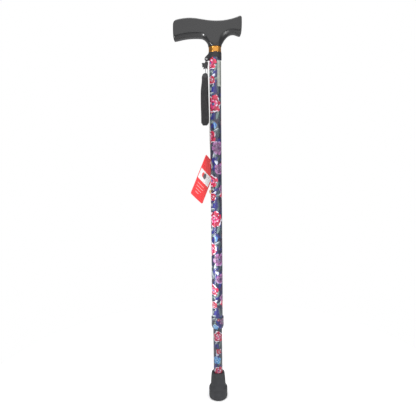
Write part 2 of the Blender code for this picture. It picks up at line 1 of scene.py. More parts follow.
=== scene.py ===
"""Looks of the single point cane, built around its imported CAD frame.

Metres, in the frame of the CAD model: +Z up, the foot at the origin, the long arm of the handle
to -X and the front to -Y. Sizes named with MM are millimetres and are scaled where they are used.
"""

import math
from types import SimpleNamespace

import bpy
from mathutils import Matrix, Vector, geometry


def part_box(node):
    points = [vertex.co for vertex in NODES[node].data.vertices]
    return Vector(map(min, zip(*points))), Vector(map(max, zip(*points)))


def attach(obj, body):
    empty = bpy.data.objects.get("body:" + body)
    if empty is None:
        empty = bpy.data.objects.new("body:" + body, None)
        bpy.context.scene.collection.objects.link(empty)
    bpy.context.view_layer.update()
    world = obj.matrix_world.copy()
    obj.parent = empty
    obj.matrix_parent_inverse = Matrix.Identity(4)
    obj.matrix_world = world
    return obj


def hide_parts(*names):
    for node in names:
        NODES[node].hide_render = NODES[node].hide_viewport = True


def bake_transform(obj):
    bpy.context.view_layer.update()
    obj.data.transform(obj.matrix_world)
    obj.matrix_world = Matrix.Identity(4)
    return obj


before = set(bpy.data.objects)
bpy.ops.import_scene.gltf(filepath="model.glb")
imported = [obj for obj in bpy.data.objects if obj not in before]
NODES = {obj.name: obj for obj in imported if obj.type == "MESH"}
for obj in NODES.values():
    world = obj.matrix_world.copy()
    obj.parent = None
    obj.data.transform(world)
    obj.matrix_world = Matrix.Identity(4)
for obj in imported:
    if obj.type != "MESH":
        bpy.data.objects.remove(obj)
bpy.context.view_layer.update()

MM = 0.001
TAU = 2 * math.pi


# ---------------------------------------------------------------- node trees


def rgb(red, green, blue):
    """A linear colour from its screen values, 0 to 255."""
    def linear(v):
        v /= 255
        return v / 12.92 if v <= 0.04045 else ((v + 0.055) / 1.055) ** 2.4

    return (linear(red), linear(green), linear(blue), 1.0)


class Value:
    """A node's output. Arithmetic on it adds Math nodes to its tree."""

    def __init__(self, tree, socket):
        self.tree, self.socket = tree, socket

    def __add__(self, other):
        return self.tree.math("ADD", self, other)

    def __sub__(self, other):
        return self.tree.math("SUBTRACT", self, other)

    def __mul__(self, other):
        return self.tree.math("MULTIPLY", self, other)

    def __truediv__(self, other):
        return self.tree.math("DIVIDE", self, other)

    def __abs__(self):
        return self.tree.math("ABSOLUTE", self)


class Tree:
    """Short calls that add nodes to a node tree. An input is a number, a tuple or a Value."""

    def __init__(self, tree):
        self.tree = tree

    def put(self, socket, value):
        if isinstance(value, Value):
            self.tree.links.new(value.socket, socket)
        else:
            socket.default_value = value

    def node(self, kind, inputs=None, out=0, **settings):
        made = self.tree.nodes.new("ShaderNode" + kind)
        for key, value in settings.items():
            setattr(made, key, value)
        for key, value in (inputs or {}).items():
            self.put(made.inputs[key], value)
        return Value(self, made.outputs[out])

    def math(self, operation, *values):
        return self.node("Math", dict(enumerate(values)), operation=operation)

    def fused(self, value, factor, extra):
        """value times factor, plus extra."""
        return self.math("MULTIPLY_ADD", value, factor, extra)

    def mix(self, share, a, b, blend="MIX"):
        return self.node("Mix", {0: share, 6: a, 7: b}, 2, data_type="RGBA", blend_type=blend)

    def step(self, value, low, high, to_low=0.0, to_high=1.0):
        """A smooth step from to_low to to_high as value goes from low to high."""
        inputs = {0: value, 1: low, 2: high, 3: to_low, 4: to_high}
        return self.node("MapRange", inputs, interpolation_type="SMOOTHSTEP", clamp=False)

    def xyz(self, vector):
        made = self.tree.nodes.new("ShaderNodeSeparateXYZ")
        self.put(made.inputs[0], vector)
        return [Value(self, output) for output in made.outputs]

    def bands(self, value, stops):
        """Flat bands of colour, each from its stop up to the next one."""
        made = self.tree.nodes.new("ShaderNodeValToRGB")
        made.color_ramp.interpolation = "CONSTANT"
        elements = made.color_ramp.elements
        while len(elements) < len(stops):
            elements.new(0.5)
        for element, (place, shade) in zip(elements, stops):
            element.position = place
            element.color = rgb(*shade)
        self.put(made.inputs[0], value)
        return Value(self, made.outputs[0])


class Paint(Tree):
    """A material with a Principled BSDF. sockets are values that are the same all over."""

    def __init__(self, name, **sockets):
        self.material = bpy.data.materials.new(name)
        self.material.use_nodes = True
        super().__init__(self.material.node_tree)
        self.shader = self.tree.nodes["Principled BSDF"]
        self.set(**sockets)
        self.where = self.node("TexCoord", out=3)

    def set(self, **sockets):
        for key, value in sockets.items():
            self.put(self.shader.inputs[key.replace("_", " ")], value)

    def uv(self, name):
        return self.xyz(self.node("UVMap", uv_map=name))

    def noise(self, scale, detail=2.0, roughness=0.5, stretch=None):
        """Noise of scale per metre, or one that stretch squeezes by its own scale along each axis."""
        where = self.where
        if stretch:
            where = self.node("VectorMath", {0: where, 1: stretch}, operation="MULTIPLY")
        inputs = {"Vector": where, "Scale": scale, "Detail": detail, "Roughness": roughness}
        return self.node("TexNoise", inputs)

    def finish(self, shade, roughness, height, distance, strength):
        """Set the colour, the roughness and a bump, which finish the material."""
        bump = self.node("Bump", {"Height": height, "Distance": distance, "Strength": strength})
        self.set(Base_Color=shade, Roughness=roughness, Normal=bump)
        return self.material


# ---------------------------------------------------------------- the floral print

REPEAT_MM = 221.0
# the sizes and the colours that a motif of each kind takes
SIZES = {"flower": ("Size", "Petals", "Turn"), "leaf": ("Length", "Width", "Turn")}
SHADES = {"flower": ("Shade", "Light", "Outline", "Inner", "Heart"), "leaf": ("Shade", "Light", "Vein")}
STYLES = {
    "flower": {
        "crimson": ((122, 20, 46), (204, 36, 78), (222, 220, 234), (216, 52, 116), (58, 86, 160)),
        "bud": ((140, 24, 50), (190, 32, 68), (216, 216, 230), (178, 32, 68), (110, 26, 54)),
        "mauve": ((84, 48, 78), (164, 106, 162), (168, 150, 184), (104, 70, 108), (40, 56, 92)),
        "sky": ((50, 104, 176), (98, 168, 220), (204, 226, 240), (120, 184, 228), (52, 66, 150)),
        "white": ((150, 158, 184), (216, 220, 234), (234, 236, 240), (190, 176, 206), (98, 90, 130)),
    },
    "leaf": {
        "green": ((44, 62, 64), (110, 134, 132), (150, 168, 164)),
        "dark": ((26, 32, 44), (62, 76, 86), (92, 106, 112)),
        "pale": ((88, 104, 112), (196, 206, 212), (72, 84, 92)),
        "royal": ((26, 26, 92), (44, 44, 142), (38, 38, 118)),
        "sky": ((48, 104, 180), (104, 176, 226), (188, 216, 236)),
        "white": ((176, 184, 208), (226, 230, 240), (184, 190, 214)),
    },
}
# across the front and up the tube in mm, the sizes (mm, or a count of petals), turn in degrees, style;
# later rows lie on top, and flowers on leaves
OUTER_MOTIFS = {
    "leaf": [
        (0.2, 664.0, 8.0, 4.0, 60, "royal"), (1.8, 671.0, 7.5, 3.0, 70, "green"),
        (-11.0, 662.5, 7.5, 3.6, 20, "green"), (-5.4, 663.6, 3.6, 1.8, 120, "pale"),
        (3.2, 651.0, 6.0, 2.8, 20, "green"), (-2.2, 631.0, 13.0, 5.6, 80, "royal"),
        (-9.2, 632.5, 4.2, 2.4, 80, "pale"), (-9.8, 623.5, 7.6, 3.0, 10, "pale"),
        (-4.0, 638.5, 3.4, 1.6, 60, "pale"), (6.6, 633.0, 10.0, 4.0, 100, "dark"),
        (-5.6, 580.0, 9.5, 4.8, 60, "royal"), (5.2, 584.0, 8.5, 4.2, 75, "green"),
        (9.8, 574.0, 8.5, 3.6, 100, "dark"), (-9.4, 584.0, 5.4, 2.4, 70, "pale"),
        (-11.0, 571.0, 7.0, 3.0, 30, "green"), (-2.0, 566.0, 7.6, 3.8, 106, "sky"),
        (-6.4, 563.5, 5.4, 3.0, 60, "royal"), (-6.0, 570.5, 4.0, 1.8, 40, "pale"),
        (1.0, 556.0, 6.4, 2.6, 30, "pale"), (-1.6, 548.5, 5.0, 2.2, 70, "pale"),
        (7.4, 551.0, 9.0, 4.2, 80, "dark"), (-3.0, 507.0, 6.2, 3.8, 80, "pale"),
        (-5.2, 497.0, 8.8, 4.2, 70, "royal"), (-10.8, 494.0, 7.4, 3.2, 110, "pale"),
        (-8.4, 486.5, 5.6, 2.4, 80, "pale"), (-1.4, 487.0, 7.6, 3.4, 80, "royal"),
        (6.0, 501.5, 8.0, 3.2, 60, "dark"), (-3.2, 656.8, 4.4, 2.3, 35, "white"),
        (0.6, 495.0, 5.0, 3.0, 120, "white"),
    ],
    "flower": [
        (-9.8, 679.6, 12.2, 5, 20, "crimson"), (-9.0, 648.8, 8.4, 4, 50, "bud"),
        (-4.8, 604.4, 16.4, 6, 10, "crimson"), (-14.0, 543.0, 14.0, 5, 40, "crimson"),
        (4.8, 522.6, 13.2, 6, 0, "mauve"), (7.2, 482.0, 10.5, 5, 70, "mauve"),
        (12.0, 664.0, 7.0, 5, 30, "mauve"),
    ],
}
INNER_MOTIFS = {
    "leaf": [
        (-4.8, 119.0, 7.0, 3.6, 80, "royal"), (-3.0, 124.0, 4.6, 2.2, 60, "pale"),
        (4.6, 119.5, 6.6, 3.0, 75, "green"), (0.4, 117.5, 6.0, 2.8, 100, "royal"),
        (5.4, 94.0, 7.0, 3.0, 100, "dark"), (-5.6, 105.0, 6.6, 2.6, 80, "dark"),
        (-4.6, 72.0, 7.0, 3.6, 60, "royal"), (5.2, 80.0, 6.0, 2.8, 60, "green"),
        (-6.0, 137.0, 7.0, 2.8, 90, "dark"), (-1.0, 158.0, 6.0, 3.0, 40, "royal"),
        (5.0, 186.0, 6.0, 2.6, 80, "pale"), (-5.0, 219.0, 7.0, 3.0, 100, "royal"),
        (4.0, 250.0, 7.0, 2.8, 70, "green"),
    ],
    "flower": [
        (1.0, 138.0, 12.4, 5, 15, "crimson"), (1.9, 106.0, 6.2, 4, 45, "bud"),
        (-2.6, 86.6, 8.6, 5, 20, "sky"), (1.2, 62.6, 10.0, 5, 60, "crimson"),
        (-2.0, 98.4, 3.0, 3, 0, "white"), (-4.0, 178.0, 9.5, 6, 0, "mauve"),
        (3.6, 205.0, 10.0, 5, 30, "crimson"), (-4.6, 236.0, 8.0, 4, 0, "white"),
    ],
}
COLLAR_MOTIFS = {
    "leaf": [
        (-8.6, 176.5, 7.0, 3.0, 30, "pale"), (-9.6, 169.0, 6.0, 2.6, 110, "dark"),
        (-4.6, 169.5, 6.6, 2.6, 60, "green"), (0.8, 172.0, 8.0, 4.4, 120, "royal"),
        (4.8, 163.5, 8.5, 4.6, 130, "royal"), (7.6, 177.5, 5.5, 2.4, 20, "dark"),
        (-2.4, 176.4, 4.0, 1.8, 60, "pale"),
    ],
    "flower": [
        (-4.8, 159.6, 6.6, 5, 20, "sky"), (10.5, 171.0, 6.4, 5, 0, "mauve"),
        (1.6, 175.6, 2.6, 4, 20, "bud"),
    ],
}

# numbers that say where on the tube a motif is
PLACE = ("Angle", "Height", "Radius", "AtAngle", "AtHeight")
# noise fields that all the motifs share, with their scale per metre and detail
BRUSHES = {"Warp": (112.0, 2.0), "Drift": (88.0, 2.0), "Bristle": (360.0, 3.0)}
BRUSHES.update({"Fibre": (1250.0, 3.0), "VeilA": (150.0, 2.0), "VeilB": (190.0, 2.0)})


def new_motif(kind):
    """The node group of a kind of motif: its Tree, its input values by name and its output sockets."""
    tree = bpy.data.node_groups.new(kind, "ShaderNodeTree")
    names = [*PLACE, *BRUSHES, *SIZES[kind], *SHADES[kind]]
    for name in names:
        form = "NodeSocketColor" if name in SHADES[kind] else "NodeSocketFloat"
        tree.interface.new_socket(name=name, in_out="INPUT", socket_type=form)
    tree.interface.new_socket(name="Colour", in_out="OUTPUT", socket_type="NodeSocketColor")
    tree.interface.new_socket(name="Mask", in_out="OUTPUT", socket_type="NodeSocketFloat")
    source = tree.nodes.new("NodeGroupInput")
    sink = tree.nodes.new("NodeGroupOutput")
    made = Tree(tree)
    given = {name: Value(made, source.outputs[name]) for name in names}
    return made, SimpleNamespace(**given), sink.inputs


def local_place(tree, given):
    """Millimetres across and up from a motif's middle. It repeats twice around, half a drop apart."""
    away = given.Angle - given.AtAngle
    copy = tree.math("ROUND", away / math.pi)
    across = tree.fused(copy, -math.pi, away) * given.Radius
    up = tree.fused(copy, -REPEAT_MM / 2, given.Height - given.AtHeight)
    up = tree.math("WRAP", up, REPEAT_MM / 2, -REPEAT_MM / 2)
    c, s = tree.math("COSINE", given.Turn), tree.math("SINE", given.Turn)
    return across * c + up * s, up * c - across * s


def flower_group():
    tree, given, out = new_motif("flower")
    step, mix = tree.step, tree.mix
    x, y = local_place(tree, given)
    x = x / given.Size
    y = y / given.Size
    reach = tree.math("SQRT", x * x + y * y)
    reach = tree.fused(given.Warp - 0.5, 0.5, reach)
    around = tree.math("ARCTAN2", y, x)
    angle = tree.fused(given.Drift - 0.5, 1.3, around)

    def petal_layer(shift, size, dent):
        """How far out a point is on a ring of petals (1 at its edge), and how near a petal's middle."""
        middle = abs(tree.math("COSINE", (angle + shift) * (given.Petals * 0.5)))
        edge = tree.fused(tree.math("POWER", middle, 0.5), size * dent, size * (1 - dent))
        return reach / edge, middle

    outer, petal = petal_layer(0.0, 1.0, 0.24)
    inner, fold = petal_layer(0.55, 0.52, 0.34)
    core, _ = petal_layer(1.1, 0.24, 0.4)
    light = step(outer, 0.3, 0.95) * step(petal, 0.1, 0.8)
    light = tree.fused(given.Bristle - 0.5, 1.3, light)
    shade = mix(light, given.Shade, given.Light)
    crease = step(petal, 0.24, 0.05) * step(outer, 0.4, 0.75)
    shade = mix(crease * 0.8, shade, given.Shade)
    rim = step(tree.fused(given.Bristle, 0.14, outer), 0.88, 0.94) * step(given.VeilA, 0.48, 0.57)
    shade = mix(rim, shade, given.Outline)
    shade = mix(step(inner, 1.04, 0.96), shade, given.Inner)
    tips = step(inner, 0.62, 0.76) * step(inner, 1.02, 0.94) * step(fold, 0.3, 0.6)
    shade = mix(tips * step(given.VeilB, 0.46, 0.54, 0.0, 0.9), shade, given.Outline)
    shade = mix(step(core, 1.1, 0.94), shade, given.Shade)
    ring = step(core, 0.5, 0.62) * step(core, 0.92, 0.8) * step(given.VeilA, 0.56, 0.46, 0.0, 0.9)
    shade = mix(ring, shade, given.Outline)
    shade = mix(step(core, 0.56, 0.46), shade, given.Heart)
    tree.put(out["Colour"], shade)
    tree.put(out["Mask"], step(outer, 1.03, 0.99))
    return tree.tree


def leaf_group():
    tree, given, out = new_motif("leaf")
    step, mix = tree.step, tree.mix
    x, y = local_place(tree, given)
    along = x / given.Length
    bend = along * along * 0.5
    over = y / given.Width - bend
    over = tree.fused(given.Bristle - 0.5, 0.7, over)
    body = tree.math("SUBTRACT", 1.0, along * along)
    half = tree.math("MAXIMUM", body, 0.0001)
    side = abs(over) / half
    ribs = tree.math("FRACT", tree.fused(abs(over), -1.6, along * 4.0))
    stripes, tilt = ribs * 0.5, step(over, -0.4, 0.6, -0.35, 0.25)
    light = stripes + given.Fibre + tilt
    shade = mix(step(light, 0.45, 1.0), given.Shade, given.Light)
    vein = step(abs(over), 0.12, 0.05)
    edge = step(side, 0.8, 0.92)
    shade = mix(tree.math("MAXIMUM", vein, edge * 0.6), shade, given.Vein)
    tree.put(out["Colour"], shade)
    tree.put(out["Mask"], step(side, 1.0, 0.92) * step(body, 0.0, 0.02))
    return tree.tree


MOTIFS = {"flower": flower_group(), "leaf": leaf_group()}


def floral_print(name, radius_mm, tone_and_shade_gain, motifs):
    """Film with a floral print around a tube of that radius, under clear lacquer. The gain scales its
    tone; set low on the lower tubes, it darkens their print as painted shade.
    """
    paint = Paint(name, Coat_Weight=0.5, Coat_Roughness=0.1, IOR=1.4)
    x, y, z = paint.xyz(paint.where)
    common = {"Angle": paint.math("ARCTAN2", y, x), "Height": z * 1000.0, "Radius": radius_mm}
    common.update({brush: paint.noise(*detail) for brush, detail in BRUSHES.items()})
    # the motifs are laid from the top one down, so that each needs only what is still uncovered
    shade, bare = rgb(0, 0, 0), 1.0
    rows = [(kind, row) for kind in ("leaf", "flower") for row in motifs[kind]]
    for kind, (across, up, one, two, turn, style) in rows[::-1]:
        made = paint.tree.nodes.new("ShaderNodeGroup")
        made.node_tree = MOTIFS[kind]
        values = {**common, "AtAngle": across / radius_mm - math.pi / 2, "AtHeight": up}
        values.update(zip(SIZES[kind], (one, two, math.radians(turn))))
        values.update(zip(SHADES[kind], (rgb(*tone) for tone in STYLES[kind][style])))
        for key, value in values.items():
            paint.put(made.inputs[key], value)
        share = paint.math("MULTIPLY", bare, Value(paint, made.outputs["Mask"]))
        shade = paint.mix(share, shade, Value(paint, made.outputs["Colour"]), "ADD")
        bare = paint.math("SUBTRACT", bare, share)
    sway = [paint.noise(k) for k in (104.0, 121.0)]
    bent = {
        0: paint.fused(x, 170.0, sway[0] * 0.9),
        1: paint.fused(y, 170.0, sway[1] * 0.9),
        2: paint.fused(z, 105.0, sway[0]),
    }
    bent = {"Vector": paint.node("CombineXYZ", bent), "Scale": 1.0}
    patch = paint.node("SeparateColor", {0: paint.node("TexVoronoi", bent, 1)})
    seam = paint.node("TexVoronoi", bent, feature="DISTANCE_TO_EDGE")
    fine = paint.noise(900.0, 3.0)
    stops = [
        (0.0, (28, 30, 60)),
        (0.24, (38, 40, 112)),
        (0.38, (30, 34, 56)),
        (0.54, (58, 72, 84)),
        (0.66, (34, 36, 74)),
        (0.80, (76, 92, 96)),
        (0.88, (62, 44, 70)),
    ]
    ground = paint.bands(patch, stops)
    ground = paint.mix(paint.step(seam, 0.10, 0.03, 0.0, 0.75), ground, rgb(26, 28, 48))
    ground = paint.mix(paint.step(fine, 0.45, 0.85, 0.0, 0.35), ground, rgb(96, 106, 128))
    shade = paint.mix(bare, shade, ground, "ADD")
    # the gain darkens the whole print: on the inner tube and the collar this is painted shade
    shade = paint.mix(1.0, shade, (tone_and_shade_gain, tone_and_shade_gain, tone_and_shade_gain, 1.0), "MULTIPLY")
    scuffs = paint.noise(1.0, 4.0, 0.7, stretch=(400.0, 400.0, 60.0))
    polish = paint.step(scuffs, 0.4, 0.75, 0.26, 0.42)
    orange_peel = paint.noise(420.0, 1.0)
    return paint.finish(shade, polish, orange_peel, 0.00003, 0.35)


# ---------------------------------------------------------------- other materials


def moulded_black(name, shade, low, high, grain=1400.0, depth=0.00002):
    """Moulded plastic: fine grain, and roughness that handling has polished unevenly."""
    paint = Paint(name, IOR=1.5)
    worn = paint.noise(45.0, 4.0, 0.6)
    fine = paint.noise(grain, 2.0)
    dark = tuple(v * 0.8 for v in shade[:3]) + (1.0,)
    shade, polish = paint.mix(worn, dark, shade), paint.step(worn, 0.3, 0.7, low, high)
    height = paint.fused(paint.noise(160.0, 1.0), 1.5, fine)
    return paint.finish(shade, polish, height, depth, 0.5)


def plated(name, light, shade, roughness):
    """Plated or turned metal with fine lines around the cane's axis."""
    paint = Paint(name, Metallic=1.0)
    lines = paint.noise(1.0, 2.0, stretch=(60.0, 60.0, 5200.0))
    stain = paint.noise(260.0, 4.0)
    shade = paint.mix(paint.step(stain, 0.35, 0.8), light, shade)
    polish = paint.step(lines, 0.3, 0.7, roughness * 0.75, roughness * 1.35)
    return paint.finish(shade, polish, lines, 0.000004, 0.2)


def steel():
    """Bright steel with a fine grain."""
    paint = Paint("bright_steel_look", Metallic=1.0)
    grain = paint.noise(1800.0, 3.0)
    stain = paint.noise(120.0, 3.0)
    shade = paint.mix(stain, (0.45, 0.46, 0.47, 1.0), (0.66, 0.66, 0.65, 1.0))
    return paint.finish(shade, paint.step(grain, 0.2, 0.8, 0.2, 0.4), grain, 0.00001, 0.3)


def nylon():
    """Milky nylon, a little translucent."""
    paint = Paint("nylon_look", IOR=1.53, Subsurface_Weight=0.2, Subsurface_Scale=0.002)
    flow = paint.noise(90.0, 3.0)
    shade = paint.mix(flow, (0.55, 0.54, 0.49, 1.0), (0.70, 0.69, 0.65, 1.0))
    return paint.finish(shade, paint.step(flow, 0.2, 0.8, 0.38, 0.55), paint.noise(900.0), 0.00002, 0.4)


def rubber(name, shade, dusty):
    """Rubber with a matt bloom, fine pores and some dust low down in its texture."""
    paint = Paint(name, IOR=1.52, Specular_IOR_Level=0.4)
    pores = paint.noise(2400.0, 3.0)
    bloom = paint.noise(110.0, 4.0, 0.65)
    shade = paint.mix(paint.step(bloom, 0.4, 0.75), shade, dusty)
    return paint.finish(shade, paint.step(bloom, 0.3, 0.7, 0.55, 0.8), pores, 0.00003, 0.5)


def webbing():
    """Woven strap: a herringbone of ribs along the strap and picks across it, with a firm edge."""
    paint = Paint("webbing_look", Sheen_Weight=0.25, Sheen_Roughness=0.5, Specular_IOR_Level=0.3)
    across, along, _ = paint.uv("weave")
    ribs = paint.math("SINE", across * (TAU / 1.25))
    flip = paint.math("SIGN", paint.math("SINE", across * (TAU / 2.5)))
    slant = paint.fused(across * flip, 0.9, along)
    picks = paint.math("SINE", slant * (TAU / 0.85))
    weave = paint.fused(picks, 0.6, abs(ribs))
    fibre = paint.noise(2600.0, 2.0)
    wear = paint.noise(120.0, 3.0)
    # the weave's hollows are darker and its crowns lighter, following the bump's height: partly woven
    # tone, partly painted shade
    shade = paint.mix(paint.step(weave, -0.4, 1.2), rgb(24, 24, 26), rgb(52, 52, 53))
    shade = paint.mix(paint.step(wear, 0.45, 0.8, 0.0, 0.35), shade, rgb(64, 64, 65))
    height = paint.fused(fibre, 0.5, weave)
    return paint.finish(shade, paint.step(fibre, 0.3, 0.7, 0.72, 0.92), height, 0.00018, 0.8)


def braid(name, light, shade, pitch_mm):
    """Braided or twisted yarn, from a map of turns around and millimetres along the cord."""
    paint = Paint(name, Sheen_Weight=0.3, Specular_IOR_Level=0.3)
    around, along, _ = paint.uv("yarn")
    step = along / pitch_mm
    one = paint.math("SINE", paint.fused(around, 4.0, step) * TAU)
    two = paint.math("SINE", paint.fused(around, -4.0, step) * TAU)
    height = paint.math("MAXIMUM", one, two)
    fibre = paint.noise(4000.0, 2.0)
    height = paint.fused(fibre, 0.6, height)
    # the strands' crowns take the light colour and the grooves between them the dark one: painted
    # highlight and painted shade
    shade = paint.mix(paint.step(height, -0.2, 1.3), shade, light)
    return paint.finish(shade, paint.step(fibre, 0.3, 0.7, 0.65, 0.9), height, 0.00008, 0.7)


def paper_label():
    """A pale adhesive label: a plain margin, a ruled grey block and slight creases."""
    paint = Paint("label_look", Specular_IOR_Level=0.45)
    across, up, _ = paint.uv("print")
    inside = paint.step(across, 0.29, 0.31) * paint.step(across, 0.93, 0.91)
    inside = inside * paint.step(up, 0.05, 0.06)
    inside = inside * paint.step(up, 0.95, 0.94)
    rules = paint.step(paint.math("SINE", up * (TAU * 17)), -0.2, 0.2)
    heavy = paint.step(across, 0.39, 0.37)
    tint = paint.mix(rules * 0.5, rgb(112, 114, 112), rgb(160, 162, 160))
    tint = paint.mix(heavy, tint, rgb(42, 44, 46))
    blotch = paint.noise(300.0, 3.0)
    stock = paint.mix(paint.step(blotch, 0.3, 0.8), rgb(148, 155, 146), rgb(170, 176, 168))
    creases = paint.noise(1.0, 4.0, stretch=(60.0, 60.0, 220.0))
    shade = paint.mix(inside * 0.8, stock, tint)
    return paint.finish(shade, paint.step(blotch, 0.3, 0.7, 0.35, 0.5), creases, 0.00012, 0.35)


def tag_card():
    """A coated red card that glows faintly in its own colour, painted light that brightens it, with a
    white panel, two discs and four pale bars.
    """
    # the emission makes the card glow faintly: painted light
    paint = Paint("tag_card_look", Coat_Weight=0.25, Coat_Roughness=0.15, Emission_Strength=0.22)
    along, over, _ = paint.uv("print")
    fibre = paint.noise(1500.0, 3.0)
    stock = paint.mix(paint.step(fibre, 0.3, 0.75), rgb(240, 62, 64), rgb(247, 78, 80))
    soft = 0.003

    def band(value, low, high):
        return paint.step(value, low - soft, low) * paint.step(value, high + soft, high)

    panel = band(along, *TAG_PANEL_ALONG) * band(over, *TAG_PANEL_OVER)
    shade = paint.mix(panel, stock, rgb(246, 246, 246))
    for at_over, radius, tint in ((0.34, 0.1, rgb(236, 90, 92)), (0.47, 0.115, rgb(98, 100, 104))):
        da = (along - 0.43) * (TAG_LENGTH / TAG_WIDTH)
        do = over - at_over
        disc = paint.step(da * da + do * do, radius * radius * 1.08, radius * radius * 0.92)
        shade = paint.mix(disc, shade, tint)
    for at_along, low, high in TAG_BARS:
        bar = band(along, at_along - 0.008, at_along + 0.008) * band(over, low, high)
        shade = paint.mix(bar * 0.6, shade, rgb(250, 196, 196))
    # the glow takes the card's own colours: painted light
    paint.set(Emission_Color=shade)
    return paint.finish(shade, paint.step(fibre, 0.3, 0.7, 0.36, 0.5), fibre, 0.00003, 0.3)


# ---------------------------------------------------------------- mesh helpers


def piece(name, points, faces, paint, sharp=38, uvs=None):
    """A mesh piece from points in metres. uvs is (map name, one (u, v) for each point)."""
    mesh = bpy.data.meshes.new(name)
    mesh.from_pydata([tuple(p) for p in points], [], faces)
    mesh.materials.append(paint)
    mesh.shade_smooth()
    if sharp:
        mesh.set_sharp_from_angle(angle=math.radians(sharp))
    if uvs:
        layer = mesh.uv_layers.new(name=uvs[0])
        for loop in mesh.loops:
            layer.data[loop.index].uv = uvs[1][loop.vertex_index]
    made = bpy.data.objects.new(name, mesh)
    bpy.context.scene.collection.objects.link(made)
    return made


def thickened(faces, count):
    """Faces for both sides and the rim of a sheet. faces are its first side's, which has count points."""
    sides = {}
    for face in faces:
        for one, two in zip(face, face[1:] + face[:1]):
            if (two, one) in sides:
                del sides[two, one]
            else:
                sides[one, two] = True
    back = [tuple(k + count for k in face[::-1]) for face in faces]
    return faces + back + [(two, one, one + count, two + count) for one, two in sides]


def circle(count):
    """Cosines and sines of even steps around a circle."""
    return [(math.cos(TAU * k / count), math.sin(TAU * k / count)) for k in range(count)]


def loft_faces(rings, around, closed=False):
    """Faces between equal rings of points, numbered ring after ring, with a cap at each open end."""
    faces = []
    for r in range(rings if closed else rings - 1):
        a, b = r * around, (r + 1) % rings * around
        for k in range(around):
            n = (k + 1) % around
            faces.append((a + k, a + n, b + n, b + k))
    if not closed:
        faces.append(tuple(range(around))[::-1])
        faces.append(tuple(range((rings - 1) * around, rings * around)))
    return faces


def lathe(name, profile, paint, sides, radius_at, sharp):
    """A turned piece from (radius, height) in mm, from pole to pole; radius_at ripples the radius."""
    points, rings = [], []
    for radius, height in profile:
        if radius == 0:
            rings.append([len(points)] * sides)
            points.append((0, 0, height * MM))
            continue
        rings.append(list(range(len(points), len(points) + sides)))
        for k in range(sides):
            angle = TAU * k / sides
            r = radius_at(radius, height, angle)
            points.append((r * MM * math.cos(angle), r * MM * math.sin(angle), height * MM))
    faces = []
    for low, high in zip(rings, rings[1:]):
        for k in range(sides):
            n = (k + 1) % sides
            corners = (low[k], low[n], high[n], high[k])
            face = tuple(dict.fromkeys(corners))
            if len(face) > 2:
                faces.append(face)
    return piece(name, points, faces, paint, sharp)


def spline(rows, steps):
    """Rows of numbers made smooth: a Catmull-Rom curve through them, with steps points per span."""
    out = []
    last = len(rows) - 1
    for k in range(last):
        near = (rows[max(k - 1, 0)], rows[k], rows[k + 1], rows[min(k + 2, last)])
        for step in range(steps):
            t = step / steps
            share = (
                (-t + 2 * t**2 - t**3) / 2,
                (2 - 5 * t**2 + 3 * t**3) / 2,
                (t + 4 * t**2 - 3 * t**3) / 2,
                (t**3 - t**2) / 2,
            )
            out.append(tuple(sum(w * v for w, v in zip(share, values)) for values in zip(*near)))
    return out + [tuple(rows[-1])]


def evenly(path, gap):
    """Points along a path at equal steps of about gap metres."""
    path = [Vector(p) for p in path]
    runs = [(b - a).length for a, b in zip(path, path[1:])]
    count = max(2, round(sum(runs) / gap) + 1)
    out = []
    span, start = 0, 0.0
    for k in range(count):
        wanted = sum(runs) * k / (count - 1)
        while span < len(runs) - 1 and start + runs[span] < wanted:
            start += runs[span]
            span += 1
        out.append(path[span].lerp(path[span + 1], (wanted - start) / runs[span]))
    return out


def length_of(path):
    return sum((b - a).length for a, b in zip(path, path[1:]))


def yarn(name, path, radius, paint, lobes=3, pitch=0.0025, depth=0.14, around=12):
    """A twisted cord along a path, thinner at its ends: lobes strands that turn once in pitch metres."""
    points, uvs = [], []
    along = (path[1] - path[0]).normalized()
    side = along.orthogonal().normalized()
    gone = 0.0
    for k, place in enumerate(path):
        ahead = (path[min(k + 1, len(path) - 1)] - path[max(k - 1, 0)]).normalized()
        side = (side - side.dot(ahead) * ahead).normalized()
        other = ahead.cross(side)
        if k:
            gone += (place - path[k - 1]).length
        end = 0.72 if k in (0, len(path) - 1) else 1.0
        for n in range(around):
            angle = TAU * n / around
            swell = 1 - depth + depth * math.cos(lobes * (angle - TAU * gone / pitch / lobes))
            r = radius * swell * end
            points.append(place + (side * math.cos(angle) + other * math.sin(angle)) * r)
            uvs.append((n / around, gone / MM))
    return piece(name, points, loft_faces(len(path), around), paint, 60, ("yarn", uvs))


# ---------------------------------------------------------------- camera, light and floor

# the light that the room itself gives, which is dimmer than the white backdrop that the camera sees
ROOM_TONE = (0.42, 0.42, 0.43, 1.0)
SUN_FROM, SUN_STRENGTH, SUN_SPREAD = (0.12, -0.8, 0.6), 3.0, 110
FLOOR_R, FLOOR_GLOW, FLOOR_GAP = 0.55, 0.15, 0.0002
# name, place, aimed at, width, height, watts, spread in degrees
LAMPS = [
    ("low_left", (-0.335, -0.37, 0.17), (0.0, 0.0, 0.30), 0.08, 0.20, 0.16, 40),
    ("glint_left", (-0.29, -0.26, 0.395), (-0.02, 0.0, 0.732), 0.12, 0.12, 0.042, 16),
    ("glint_right", (0.31, -0.26, 0.41), (0.03, 0.0, 0.737), 0.10, 0.10, 0.012, 16),
    ("above", (-0.2, 0.2, 2.0), (0.0, 0.0, 0.5), 1.0, 1.0, 8.0, 180),
]


